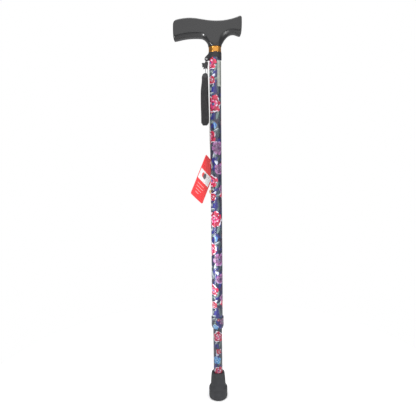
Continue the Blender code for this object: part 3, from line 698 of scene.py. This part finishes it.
def studio():
    """The camera where a person's eye meets the cane's upper third, a pale floor and soft light."""
    lens = bpy.data.cameras.new("view")
    lens.sensor_width, lens.lens = 36.0, 36.73
    lens.clip_start, lens.clip_end = 0.01, 50.0
    camera = bpy.data.objects.new("view", lens)
    bpy.context.scene.collection.objects.link(camera)
    pitch, roll = math.radians(8.60), math.radians(-0.75)
    camera.matrix_world = (
        Matrix.Translation((-0.0168, -0.8315, 0.5305))
        @ Matrix.Rotation(math.pi / 2 - pitch, 4, "X")
        @ Matrix.Rotation(roll, 4, "Z")
    )
    bpy.context.scene.camera = camera

    world = bpy.data.worlds.new("studio")
    world.use_nodes = True
    sky = Tree(world.node_tree)
    seen = sky.node("LightPath", out=0)
    tone = sky.mix(seen, ROOM_TONE, (1.0, 1.0, 1.0, 1.0))
    sky.put(world.node_tree.nodes["Background"].inputs[0], tone)
    bpy.context.scene.world = world
    bpy.context.scene.view_settings.view_transform = "Standard"

    floor_paint = Paint("floor_look", Specular_IOR_Level=0.0)
    speck = floor_paint.noise(40.0, 4.0)
    tone = floor_paint.mix(speck, (0.93, 0.93, 0.93, 1.0), (0.97, 0.97, 0.97, 1.0))
    floor_paint.set(Base_Color=tone, Roughness=floor_paint.step(speck, 0.3, 0.7, 0.8, 0.95))
    floor_paint.set(Emission_Color=(1.0, 1.0, 1.0, 1.0), Emission_Strength=FLOOR_GLOW)
    rim = [(FLOOR_R * c, FLOOR_R * s, -FLOOR_GAP) for c, s in circle(96)]
    floor = piece("floor", rim, [tuple(range(96))], floor_paint.material)
    # the foot stands on the floor at every height of the cane
    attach(floor, "lower_shaft")

    sun = bpy.data.lights.new("overhead", "SUN")
    sun.energy, sun.angle = SUN_STRENGTH, math.radians(SUN_SPREAD)
    light = bpy.data.objects.new("overhead", sun)
    bpy.context.scene.collection.objects.link(light)
    light.matrix_world = Vector(SUN_FROM).to_track_quat("Z", "Y").to_matrix().to_4x4()
    for name, place, target, width, height, watts, spread in LAMPS:
        lamp = bpy.data.lights.new(name, "AREA")
        lamp.shape, lamp.size, lamp.size_y, lamp.energy = "RECTANGLE", width, height, watts
        lamp.spread = math.radians(spread)
        light = bpy.data.objects.new(name, lamp)
        bpy.context.scene.collection.objects.link(light)
        light.visible_camera = False
        aim = Vector(target) - Vector(place)
        light.matrix_world = Matrix.Translation(place) @ aim.to_track_quat("-Z", "Y").to_matrix().to_4x4()


# ---------------------------------------------------------------- cords

CORD_R, STRING_R = 0.0006, 0.0004
# half of the strap cord's route, from the end cap up through the bead to the middle of the eye
CORD_ROUTE = [
    (-0.018, -0.00075, 0.6596), (-0.018, -0.00075, 0.663), (-0.018, -0.00075, 0.667),
    (-0.018, -0.00075, 0.671), (-0.018, -0.00075, 0.675), (-0.018, -0.00076, 0.679),
    (-0.0179, -0.00095, 0.6811), (-0.0177, -0.00175, 0.6827), (-0.0174, -0.0027, 0.6838),
    (-0.017, -0.00325, 0.685), (-0.0167, -0.00325, 0.6863), (-0.0165, -0.0026, 0.6876),
    (-0.0165, -0.0014, 0.6885), (-0.0165, 0.0, 0.68875),
]
STRING_ROUTE = [
    (-0.0149, -0.0034, 0.6886), (-0.0149, -0.0012, 0.6887), (-0.0149, 0.0012, 0.6886),
    (-0.01485, 0.0032, 0.6879), (-0.0147, 0.0047, 0.6859), (-0.0145, 0.0055, 0.6824),
    (-0.0144, 0.006, 0.676), (-0.0142, 0.0065, 0.666), (-0.014, 0.0074, 0.652), (-0.0138, 0.0081, 0.637),
    (-0.0134, 0.0092, 0.62), (-0.0131, 0.01, 0.603), (-0.0126, 0.0113, 0.585), (-0.0123, 0.0124, 0.567),
    (-0.0118, 0.0138, 0.549), (-0.0113, 0.0153, 0.531), (-0.0107, 0.017, 0.513), (-0.0104, 0.0181, 0.501),
]

TAG_LENGTH, TAG_WIDTH, TAG_THICK, TAG_CORNER_R, TAG_HOLE_R = 0.085, 0.049, 0.0006, 0.003, 0.002
TAG_CORNER = Vector((-0.0192, 0.0020, 0.5102))
TAG_DOWN = Vector((-0.359, -0.405, -0.841)).normalized()
TAG_ACROSS = Vector((0.425, 0.731, -0.534))
TAG_ACROSS = (TAG_ACROSS - TAG_ACROSS.dot(TAG_DOWN) * TAG_DOWN).normalized()
TAG_FACE = TAG_DOWN.cross(TAG_ACROSS)
TAG_HOLE_DROP = 0.005
TAG_HOLE = TAG_CORNER + TAG_DOWN * TAG_HOLE_DROP + TAG_ACROSS * TAG_WIDTH / 2
TAG_PANEL_ALONG, TAG_PANEL_OVER = (0.335, 0.575), (0.04, 0.93)
TAG_BARS = [(0.665, 0.16, 0.70), (0.735, 0.16, 0.72), (0.805, 0.18, 0.64), (0.875, 0.24, 0.52)]


def knot(name, middle, axis, size, radius, paint):
    """A small tight knot: a closed three-lobed tube, flattened along axis."""
    axis = Vector(axis).normalized()
    one = axis.orthogonal().normalized()
    two = axis.cross(one)
    path = []
    for k in range(72):
        t = TAU * k / 72
        x, y = math.sin(t) + 2 * math.sin(2 * t), math.cos(t) - 2 * math.cos(2 * t)
        path.append(Vector(middle) + (one * x + two * y - axis * 1.3 * math.sin(3 * t)) * (size / 3))
    points = []
    for k, place in enumerate(path):
        ahead = (path[(k + 1) % 72] - path[k - 1]).normalized()
        side = ahead.cross(place - Vector(middle)).normalized()
        other = ahead.cross(side)
        points += [place + (side * c + other * s) * radius for c, s in circle(8)]
    uvs = [(n % 8 / 8, n // 8 * 0.2) for n in range(len(points))]
    return piece(name, points, loft_faces(72, 8, closed=True), paint, 60, ("yarn", uvs))


def cords():
    """The grey cord that carries the strap, and the pale string that the tag hangs on."""
    other_half = [(x, -y, z) for x, y, z in CORD_ROUTE[-2::-1]]
    grey = braid("strap_cord_look", rgb(128, 128, 132), rgb(66, 66, 70), 1.4)
    path = evenly(spline(CORD_ROUTE + other_half, 10), 0.0004)
    link = yarn("strap_cord_braid", path, CORD_R, grey, lobes=4, pitch=0.004, depth=0.05)
    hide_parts("strap_cord")
    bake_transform(link)
    cap_top = CORD_ROUTE[1]
    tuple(cap_top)
    round(length_of(path), 3)

    pale = braid("tag_string_look", rgb(198, 194, 184), rgb(128, 124, 116), 1.1)
    route = STRING_ROUTE + [tuple(TAG_HOLE - TAG_FACE * 0.0012), tuple(TAG_HOLE + TAG_FACE * 0.0014)]
    path = evenly(spline(route, 10), 0.0004)
    string = yarn("tag_string_twine", path, STRING_R, pale, lobes=3, pitch=0.0026)
    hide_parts("tag_string")
    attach(string, "tag")
    top_knot = knot("tag_string_top_knot", STRING_ROUTE[0], (0, 1, 0), 0.0008, 0.0004, grey)
    low_knot = knot("tag_string_low_knot", route[-1], TAG_FACE, 0.00125, 0.0004, pale)
    for part in (top_knot, low_knot):
        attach(part, "tag")
    round(length_of(path), 3)


# ---------------------------------------------------------------- swing tag and label


def swing_tag():
    """A card with round corners, a punched hole and a slight curl."""
    paint = tag_card()
    grid, margin = 0.003, 0.0015
    border = []
    for at_end, at_side, start in ((0, 0, 270), (0, 1, 180), (1, 1, 90), (1, 0, 0)):
        along = TAG_CORNER_R + at_end * (TAG_LENGTH - 2 * TAG_CORNER_R)
        over = TAG_CORNER_R + at_side * (TAG_WIDTH - 2 * TAG_CORNER_R)
        for k in range(9):
            angle = math.radians(start - 90 * k / 8)
            border.append((along + TAG_CORNER_R * math.cos(angle), over + TAG_CORNER_R * math.sin(angle)))
    dense = []
    for (a, b), (c, d) in zip(border, border[1:] + border[:1]):
        steps = max(1, round(math.hypot(c - a, d - b) / grid))
        dense += [(a + (c - a) * k / steps, b + (d - b) * k / steps) for k in range(steps)]
    hole = [(TAG_HOLE_DROP + TAG_HOLE_R * c, TAG_WIDTH / 2 + TAG_HOLE_R * s) for c, s in circle(24)]
    centre = (TAG_HOLE_DROP, TAG_WIDTH / 2)
    clear = [(grid * i, grid * j) for i in range(1, 29) for j in range(1, 17)]
    clear = [p for p in clear if p[0] < TAG_LENGTH - margin and math.dist(p, centre) > TAG_HOLE_R + margin]
    flat = [Vector(p) for p in dense + hole + clear]
    edges, first = [], 0
    for loop in (dense, hole):
        edges += [(first + k, first + (k + 1) % len(loop)) for k in range(len(loop))]
        first += len(loop)
    made = geometry.delaunay_2d_cdt(flat, edges, [], 0, 1e-7)
    flat, triangles = made[0], made[2]

    def in_hole(triangle):
        middle = sum((flat[k] for k in triangle), Vector((0.0, 0.0))) / 3
        return math.dist(middle, centre) < TAG_HOLE_R

    triangles = [t for t in triangles if not in_hole(t)]

    def place(point, lift):
        a, b = point
        curl = 0.0009 * ((2 * b / TAG_WIDTH - 1) ** 2 - 0.3) * min(a / TAG_LENGTH + 0.2, 1.0)
        return TAG_CORNER + TAG_DOWN * a + TAG_ACROSS * b + TAG_FACE * (lift + curl)

    count = len(flat)
    points = [place(p, -TAG_THICK / 2) for p in flat] + [place(p, TAG_THICK / 2) for p in flat]
    faces = thickened([tuple(t) for t in triangles], count)
    uvs = [(p[0] / TAG_LENGTH, p[1] / TAG_WIDTH) for p in flat] * 2
    card = piece("tag_card", points, faces, paint, 38, ("print", uvs))
    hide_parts("swing_tag")
    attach(card, "tag")


def label():
    """A paper label around the right front of the tube, with round corners and one lifted edge."""
    low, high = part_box("label")
    radius, thick, corner = 11.13 * MM, 0.16 * MM, 1.2 * MM
    start, end = math.radians(-69), math.radians(39)
    width = (end - start) * radius
    rows, columns = [], 36
    arc = [corner * (1 - math.cos(math.radians(15 * k))) for k in range(6)]
    middle = [corner + (high.z - low.z - 2 * corner) * k / 24 for k in range(25)]
    for z in arc + middle + [high.z - low.z - v for v in arc[::-1]]:
        inset = max(corner - z, corner - (high.z - low.z - z), 0.0)
        rows.append((z, corner - math.sqrt(max(corner**2 - inset**2, 0.0))))
    points, uvs = [], []
    for layer in (0, 1):
        for z, pull in rows:
            for k in range(columns + 1):
                s = pull + (width - 2 * pull) * k / columns
                angle = start + s / radius
                lift = 0.12 * MM * max(0.0, (s / width - 0.93) / 0.07) ** 2
                r = radius + layer * thick + lift
                points.append((r * math.cos(angle), r * math.sin(angle), low.z + z))
                uvs.append((s / width, z / (high.z - low.z)))
    across, faces = columns + 1, []
    for r in range(len(rows) - 1):
        for a in range(r * across, r * across + columns):
            b = a + across
            faces.append((a, b, b + 1, a + 1))
    faces = thickened(faces, len(rows) * across)
    made = piece("label_paper_wrap", points, faces, paper_label(), 38, ("print", uvs))
    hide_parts("label")
    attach(made, "cane_upper")


# ---------------------------------------------------------------- wrist strap

STRAP_TOP_Z, STRAP_FOLD_Z, STRAP_PLY_Y, STRAP_THICK = 0.6535, 0.5676, 0.0016, 0.0014
STRAP_TOP_HALF, STRAP_HALF = 0.0053, 0.0066
THREAD_R, STITCH_HALF = 0.00016, 0.00048
STRAP_FRONT_X, STRAP_REAR_X, BEAD_X, KNOT_X = -0.0212, -0.0194, -0.0180, -0.0190
# one tail of the knot: out from the bead's middle, y and z
KNOT_TAIL = [
    (0.0012, -0.0017, 0.6738), (0.002, -0.0023, 0.6722), (0.0029, -0.0024, 0.6708),
    (0.0036, -0.0021, 0.6697),
]


def smooth(t):
    t = min(max(t, 0.0), 1.0)
    return t * t * (3 - 2 * t)


def webbing_station(share):
    """The strap's middle, run, half width and length so far, for 0 at its front top to 1 at its rear."""
    drop = STRAP_TOP_Z - STRAP_FOLD_Z
    fold = math.pi * STRAP_PLY_Y
    gone = share * (2 * drop + fold)
    if gone < drop:
        y, z, run = -STRAP_PLY_Y, STRAP_TOP_Z - gone, (0.0, 0.0, -1.0)
    elif gone > drop + fold:
        y, z, run = STRAP_PLY_Y, STRAP_FOLD_Z + gone - drop - fold, (0.0, 0.0, 1.0)
    else:
        angle = (gone - drop) / STRAP_PLY_Y
        y, z = -STRAP_PLY_Y * math.cos(angle), STRAP_FOLD_Z - STRAP_PLY_Y * math.sin(angle)
        run = (0.0, math.sin(angle), -math.cos(angle))
    down = (STRAP_TOP_Z - z) / drop
    opened = smooth(down / 0.3)
    half = STRAP_TOP_HALF + (STRAP_HALF - STRAP_TOP_HALF) * opened
    half -= 0.0026 * smooth((STRAP_FOLD_Z + 0.0042 - z) / 0.0058) ** 1.5
    behind = (y / STRAP_PLY_Y + 1) / 2
    x = STRAP_FRONT_X + (STRAP_REAR_X - STRAP_FRONT_X) * behind
    x += (1 - opened) * (0.0012 - 0.0006 * behind)
    x += 0.00018 * math.sin(9.0 * down + 2.0 * behind)
    bow = 0.0003 * math.sin(math.pi * down) * (1 if y > 0 else -1)
    return Vector((x, y + bow, z)), Vector(run), half, gone


def wrist_strap():
    """The webbing loop, its stitching, its sewn end cap, and the knot that closes the cord."""
    paint = webbing()
    around, stations = 20, 150
    points, uvs = [], []
    for n in range(stations + 1):
        middle, run, half, gone = webbing_station(n / stations)
        out = Vector((1.0, 0.0, 0.0)).cross(run)
        for c, s in circle(around):
            wide = math.copysign(abs(c) ** 0.22, c) * half
            deep = math.copysign(abs(s) ** 0.45, s) * STRAP_THICK / 2
            points.append(middle + Vector((wide, 0.0, 0.0)) + out * deep)
            uvs.append((wide / MM, gone / MM))
    faces = loft_faces(stations + 1, around)
    strap = piece("wrist_strap_webbing", points, faces, paint, 50, ("weave", uvs))
    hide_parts("wrist_strap")
    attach(strap, "strap_loop")

    thread = moulded_black("thread_look", rgb(58, 58, 60), 0.6, 0.8, 5000.0)
    stitches, faces = [], []
    sideways, upright, forward = Vector((1, 0, 0)), Vector((0, 0, 1)), Vector((0, -1, 0))
    rows = [(x, 0.6525 - 0.0014 * k, upright, sideways) for x in (-0.0030, 0.0030) for k in range(10)]
    across = (-0.0022, -0.0011, 0.0, 0.0011, 0.0022)
    rows += [(x, 0.6530 - 0.0140 * end, sideways, upright) for end in (0, 1) for x in across]
    for x, z, long, wide in rows:
        middle = webbing_station((STRAP_TOP_Z - z) / (2 * (STRAP_TOP_Z - STRAP_FOLD_Z)))[0]
        centre = Vector((middle.x + x, middle.y - STRAP_THICK / 2 - 0.00004, z))
        first = len(stitches)
        # a stitch's two ends are thinner and dip into the webbing
        for end in (-1, -0.5, 0.5, 1):
            share, sunk = (0.6, THREAD_R) if abs(end) == 1 else (1.0, 0.0)
            for c, s in circle(6):
                ring = wide * c * THREAD_R + forward * s * THREAD_R
                stitches.append(centre + long * end * STITCH_HALF + ring * share + Vector((0, sunk, 0)))
        faces += [tuple(first + v for v in face) for face in loft_faces(4, 6)]
    sewing = piece("wrist_strap_stitching", stitches, faces, thread)
    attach(sewing, "strap_loop")
    end_cap()
    strap_knot()


def end_cap():
    """A soft moulded cap that closes on the strap's top and tapers to the cord."""
    paint = moulded_black("end_cap_look", rgb(46, 46, 48), 0.5, 0.7, 2200.0)
    # height, half width, half depth and shift to the left, mm
    sections = [
        (653.7, 5.2, 2.3, 1.35), (653.8, 5.75, 2.7, 1.35), (654.4, 5.95, 2.95, 1.35),
        (656.0, 5.85, 3.0, 1.3), (658.0, 5.4, 2.95, 1.15), (659.6, 4.85, 2.8, 1.0),
        (660.8, 4.15, 2.55, 0.85), (661.7, 3.3, 2.35, 0.7), (662.2, 2.7, 2.2, 0.5), (662.4, 2.2, 2.0, 0.3),
        (662.4, 1.8, 1.8, 0.0), (661.8, 1.6, 1.6, 0.0), (659.0, 1.55, 1.55, 0.0), (658.5, 1.0, 1.0, 0.0),
    ]
    points = []
    around = 40
    for z, wide, deep, shift in spline(sections, 3):
        for c, s in circle(around):
            bulge = (abs(c) ** 2.6 + abs(s) ** 2.6) ** (-1 / 2.6) if wide > 2.4 else 1.0
            seam = 0.06 * math.exp(-((s / 0.09) ** 2)) if wide > 3 else 0.0
            x = (BEAD_X / MM - shift + (wide + seam) * c * bulge) * MM
            points.append((x, deep * s * bulge * MM, z * MM))
    cap = piece("strap_end_cap_moulding", points, loft_faces(len(points) // around, around), paint)
    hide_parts("strap_end_cap")
    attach(cap, "strap_loop")


def strap_knot():
    """A barrel knot in thicker black cord around the strap's cord, with its two short tails."""
    paint = braid("strap_knot_look", rgb(58, 58, 60), rgb(22, 22, 24), 1.6)
    path = []
    turns, steps = 3.6, 200
    for k in range(steps + 1):
        t = k / steps
        angle = -math.pi / 2 + TAU * turns * t
        radius = (3.5 - 0.6 * t**2) * MM
        wide = (4.9 - 1.3 * t**2) * MM
        z = (682.0 - 9.8 * t) * MM
        path.append(Vector((KNOT_X + wide * math.cos(angle), radius * math.sin(angle), z)))
    path = evenly(path, 0.0006)
    coil = yarn("strap_knot_coil", path, 0.0014, paint, pitch=0.006, depth=0.06, around=14)
    parts = [coil]
    for n, side in enumerate((-1, 1)):
        tail = [(BEAD_X + side * out, y, z) for out, y, z in KNOT_TAIL]
        strand = evenly(spline(tail, 6), 0.0004)
        parts.append(yarn(f"strap_knot_tail_{n + 1}", strand, 0.0011, paint, pitch=0.006, depth=0.06))
    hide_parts("strap_bead")
    for part in parts:
        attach(part, "strap_link")


# ---------------------------------------------------------------- handle

HANDLE_HALF_DEPTH = 14.0
NECK_R = 12.6
NECK_BLEND_Z, NECK_BLEND = 718.0, 8.0
# silhouette x and z, front face x and z, half width of the full-size band, roundness of the edge; mm
HANDLE_OUTLINE = [
    (-12.6, 710.0, -7.0, 710.0, 1.5, 1.0), (-13.0, 713.0, -8.5, 713.5, 2.5, 0.8),
    (-14.7, 717.2, -10.4, 718.0, 4.0, 0.5), (-18.2, 721.6, -13.2, 722.4, 5.5, 0.35),
    (-22.4, 724.4, -16.4, 727.6, 6.5, 0.3), (-28.0, 725.6, -21.0, 732.0, 7.0, 0.3),
    (-38.0, 725.8, -34.0, 733.4, 7.0, 0.3), (-50.0, 725.2, -49.0, 733.2, 7.0, 0.3),
    (-62.0, 723.4, -61.0, 731.2, 7.0, 0.3), (-71.5, 721.4, -70.0, 729.4, 7.0, 0.4),
    (-75.3, 721.6, -73.9, 729.4, 7.5, 0.6), (-76.7, 725.5, -75.0, 732.4, 8.0, 0.8),
    (-77.2, 737.0, -75.2, 740.0, 8.5, 1.0), (-76.8, 749.0, -74.6, 748.4, 8.5, 1.0),
    (-74.6, 754.2, -72.4, 751.8, 8.5, 1.0), (-69.5, 756.8, -68.2, 753.6, 8.5, 1.0),
    (-60.0, 758.6, -59.0, 755.2, 8.5, 1.0), (-48.0, 759.6, -47.8, 756.2, 8.5, 1.0),
    (-36.0, 758.9, -36.0, 755.5, 8.5, 1.0), (-23.0, 756.8, -23.0, 753.4, 8.5, 1.0),
    (-9.0, 754.8, -9.0, 751.5, 8.5, 1.0), (6.0, 754.1, 6.0, 750.8, 8.5, 1.0),
    (19.0, 755.0, 19.0, 751.6, 8.5, 1.0), (31.0, 757.2, 30.6, 753.7, 8.5, 1.0),
    (41.0, 760.2, 39.8, 756.3, 8.5, 1.0), (46.6, 762.0, 44.8, 758.0, 8.5, 1.0),
    (49.2, 760.6, 47.0, 757.2, 8.5, 1.0), (49.9, 756.0, 47.7, 753.4, 8.5, 1.0),
    (49.8, 743.0, 47.7, 744.0, 8.5, 0.9), (48.9, 733.0, 47.5, 739.0, 8.0, 0.6),
    (47.0, 729.0, 46.0, 737.2, 7.5, 0.4), (42.5, 729.4, 41.4, 737.8, 7.0, 0.3),
    (36.0, 731.6, 33.6, 738.6, 7.0, 0.3), (29.5, 731.2, 25.6, 737.7, 7.0, 0.3),
    (23.6, 727.8, 18.0, 734.6, 6.5, 0.3), (18.9, 723.0, 11.9, 730.2, 5.5, 0.35),
    (15.4, 717.6, 7.2, 724.0, 4.0, 0.5), (13.3, 713.0, 4.9, 716.0, 2.5, 0.8),
    (12.6, 710.0, 4.4, 710.0, 1.5, 1.0),
]
OUTLINE_STEPS, EDGE_STEPS = 5, 10
FACE_GRID, FACE_MARGIN = 3.2, 1.3
PARTING_HALF, PARTING_LIFT = 0.22, 0.07


def neck_round(point):
    """Draw a handle point in to the neck's circle as it comes down to the gold ring."""
    x, y, z = point
    share = min(max((NECK_BLEND_Z - z) / NECK_BLEND, 0.0), 1.0) ** 2
    reach = math.hypot(x, y) or 1.0
    pull = 1.0 + (NECK_R / reach - 1.0) * share
    return (x * pull, y * pull, z)


def clear_of(point, loop, margin):
    """Is a flat point inside the loop and at least margin from its edges?"""
    inside = False
    for a, b in zip(loop, loop[1:] + loop[:1]):
        along = b - a
        t = min(max((point - a).dot(along) / along.length_squared, 0.0), 1.0)
        if (a + along * t - point).length < margin:
            return False
        if (a.y > point.y) != (b.y > point.y) and point.x < a.x + along.x * (point.y - a.y) / along.y:
            inside = not inside
    return inside


def handle():
    """The moulded handle: its band with a parting line, eased creases and flat front and back."""
    outline = spline(HANDLE_OUTLINE, OUTLINE_STEPS)
    points, ribs = [], []
    for n, (x, z, face_x, face_z, band, soft) in enumerate(outline):
        before, after = outline[max(n - 1, 0)], outline[min(n + 1, len(outline) - 1)]
        out = Vector((before[1] - after[1], after[0] - before[0])).normalized() * PARTING_LIFT
        edge = []
        for k in range(EDGE_STEPS + 1):
            t = k / EDGE_STEPS
            inward = soft * (1 - math.sin(t * math.pi / 2)) + (1 - soft) * (1 - t)
            forward = soft * math.cos(t * math.pi / 2) + (1 - soft) * (1 - t)
            depth = band + (HANDLE_HALF_DEPTH - band) * forward
            edge.append((x + (face_x - x) * inward, depth, z + (face_z - z) * inward))
        half = [(x, band * share, z) for share in (0.75, 0.5, 0.25)] + [(x, PARTING_HALF, z)]
        line = (x + out.x, 0.0, z + out.y)
        rib = [(a, -b, c) for a, b, c in edge + half] + [line] + half[::-1] + edge[::-1]
        ribs.append(list(range(len(points), len(points) + len(rib))))
        points += rib
    faces = []
    for one, two in zip(ribs, ribs[1:]):
        faces += [(one[k], two[k], two[k + 1], one[k + 1]) for k in range(len(one) - 1)]
    border = [Vector((points[rib[0]][0], points[rib[0]][2])) for rib in ribs]
    bottom = [border[-1].lerp(border[0], t / 8) for t in range(1, 8)]
    loop = border + bottom
    inside = []
    for row in range(17):
        for column in range(42):
            shift = FACE_GRID / 2 * (row % 2)
            inside.append(Vector((-77.0 + FACE_GRID * column + shift, 711.0 + FACE_GRID * row)))
    inside = [p for p in inside if clear_of(p, loop, FACE_MARGIN)]
    count = len(loop)
    ring = [(k, (k + 1) % count) for k in range(count)]
    flat_face = geometry.delaunay_2d_cdt(loop + inside, ring, [list(range(count))], 1, 1e-5)
    made, triangles, came_from = flat_face[0], flat_face[2], flat_face[3]
    edges = {}
    for side, end in ((-1, 0), (1, -1)):
        at = {}
        for k, flat in enumerate(made):
            source = came_from[k][0] if came_from[k] else count
            if source < len(ribs):
                at[k] = ribs[source][end]
                continue
            at[k] = len(points)
            points.append((flat.x, side * HANDLE_HALF_DEPTH, flat.y))
            if source < count:
                edges[side, source - len(ribs)] = at[k]
        order = 1 if side < 0 else -1
        faces += [tuple(at[k] for k in triangle)[::order] for triangle in triangles]
    front, rear = ([edges[side, k] for k in range(len(bottom))] for side in (-1, 1))
    faces.append(tuple(ribs[0] + rear[::-1] + ribs[-1][::-1] + front))
    points = ease([neck_round(p) for p in points], faces, 1, NECK_BLEND_Z - NECK_BLEND + 0.1)
    paint = moulded_black("handle_look", rgb(29, 29, 30), 0.22, 0.38, 1400.0, 0.000006)
    made = piece("handle_moulding", [Vector(p) * MM for p in points], faces, paint, 50)
    flip_if_inside_out(made)
    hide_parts("handle")
    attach(made, "cane_upper")


def ease(points, faces, rounds, floor_z):
    """Soften creases: move each point above floor_z a little towards the middle of its neighbours."""
    near = [set() for _ in points]
    for face in faces:
        if len(face) > 4:
            continue
        for a, b in zip(face, face[1:] + face[:1]):
            near[a].add(b)
            near[b].add(a)
    points = [Vector(p) for p in points]
    for _ in range(rounds):
        moved = []
        for k, point in enumerate(points):
            if point.z <= floor_z or not near[k] or abs(point.y) < 0.5:
                moved.append(point)
                continue
            middle = sum((points[n] for n in near[k]), Vector()) / len(near[k])
            moved.append(point.lerp(middle, 0.5))
        points = moved
    return points


def flip_if_inside_out(obj):
    """Turn a closed mesh's faces outwards."""
    mesh = obj.data
    volume = 0.0
    for face in mesh.polygons:
        corners = [mesh.vertices[k].co for k in face.vertices]
        for one, two in zip(corners[1:], corners[2:]):
            volume += corners[0].dot(one.cross(two))
    if volume < 0:
        mesh.flip_normals()


# ---------------------------------------------------------------- rubber foot


# the foot's radius and height, from the sole's middle up the outside and down the socket; mm
FOOT_PROFILE = [
    (0, 0), (5.9, 0), (6.3, 0.3), (6.5, 1.2), (8.1, 1.2), (8.4, 0.3), (8.8, 0), (10.9, 0), (11.3, 0.3),
    (11.5, 1.2), (13.1, 1.2), (13.4, 0.3), (13.8, 0), (16.2, 0), (17.3, 0.35), (18.2, 1.1), (18.9, 2.4),
    (19.2, 4.0), (19.3, 6.0), (19.3, 20.3), (19.22, 20.6), (18.95, 20.8), (18.95, 21.1), (19.2, 21.3),
    (19.2, 22.4), (18.9, 23.7), (18.2, 25.1), (17.2, 26.4), (16.6, 27.4), (16.1, 28.6), (15.75, 30.0),
    (15.4, 34.0), (15.1, 39.0), (14.75, 44.0), (14.3, 49.0), (13.85, 53.4), (13.6, 55.0), (13.3, 56.2),
    (12.9, 57.0), (12.4, 57.4), (11.6, 57.5), (10.6, 57.5), (10.0, 57.3), (9.8, 56.8), (9.8, 8.9),
    (0, 8.9),
]


def ferrule():
    """The rubber foot, with fine flutes around its body, a stepped base and a ringed sole."""
    def fluted(radius, height, angle):
        share = smooth((height - 29.0) / 3.0) * smooth((55.5 - height) / 2.5)
        if radius < 13:
            share = 0.0
        return radius - 0.32 * share * (0.5 + 0.5 * math.cos(36 * angle)) ** 3

    paint = rubber("ferrule_look", rgb(36, 37, 40), rgb(54, 55, 58))
    made = lathe("ferrule_rubber", FOOT_PROFILE, paint, 288, fluted, 40)
    flip_if_inside_out(made)
    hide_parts("ferrule")
    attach(made, "lower_shaft")


# ---------------------------------------------------------------- CAD nodes that stay


def paint_nodes():
    """Give each CAD node that stays its finished material."""
    gold = plated("gold_look", (0.50, 0.235, 0.05, 1.0), (0.42, 0.185, 0.036, 1.0), 0.30)
    brass = plated("brass_look", (0.55, 0.40, 0.16, 1.0), (0.40, 0.28, 0.11, 1.0), 0.34)
    milky, bright = nylon(), steel()
    looks = {
        "outer_tube": floral_print("outer_tube_look", 11.0, 0.9, OUTER_MOTIFS),
        # the inner tube and the collar get a low gain, which paints shade into their print
        "inner_tube": floral_print("inner_tube_look", 9.5, 0.54, INNER_MOTIFS),
        "locking_collar": floral_print("collar_look", 12.9, 0.54, COLLAR_MOTIFS),
        "gold_ring": gold,
        "snap_button": brass,
        "strap_ring": rubber("strap_ring_look", rgb(30, 30, 32), rgb(46, 46, 48)),
    }
    plugs = ("handle_spigot", "collar_sleeve", "inner_guide_plug", "inner_foot_plug")
    looks.update(dict.fromkeys(plugs, milky))
    looks.update(dict.fromkeys(("handle_screw", "button_spring", "ferrule_washer"), bright))
    for name, look in looks.items():
        for slot in NODES[name].material_slots:
            slot.material = look
        NODES[name].data.shade_smooth()
        NODES[name].data.set_sharp_from_angle(angle=math.radians(38))
    soften = NODES["strap_ring"].modifiers.new("even_skin", "REMESH")
    soften.mode, soften.voxel_size, soften.use_smooth_shade = "VOXEL", 0.3 * MM, True
    ease_skin = NODES["strap_ring"].modifiers.new("ease_skin", "SMOOTH")
    ease_skin.factor, ease_skin.iterations = 0.5, 5


studio()
swing_tag()
cords()
label()
wrist_strap()
handle()
ferrule()
paint_nodes()
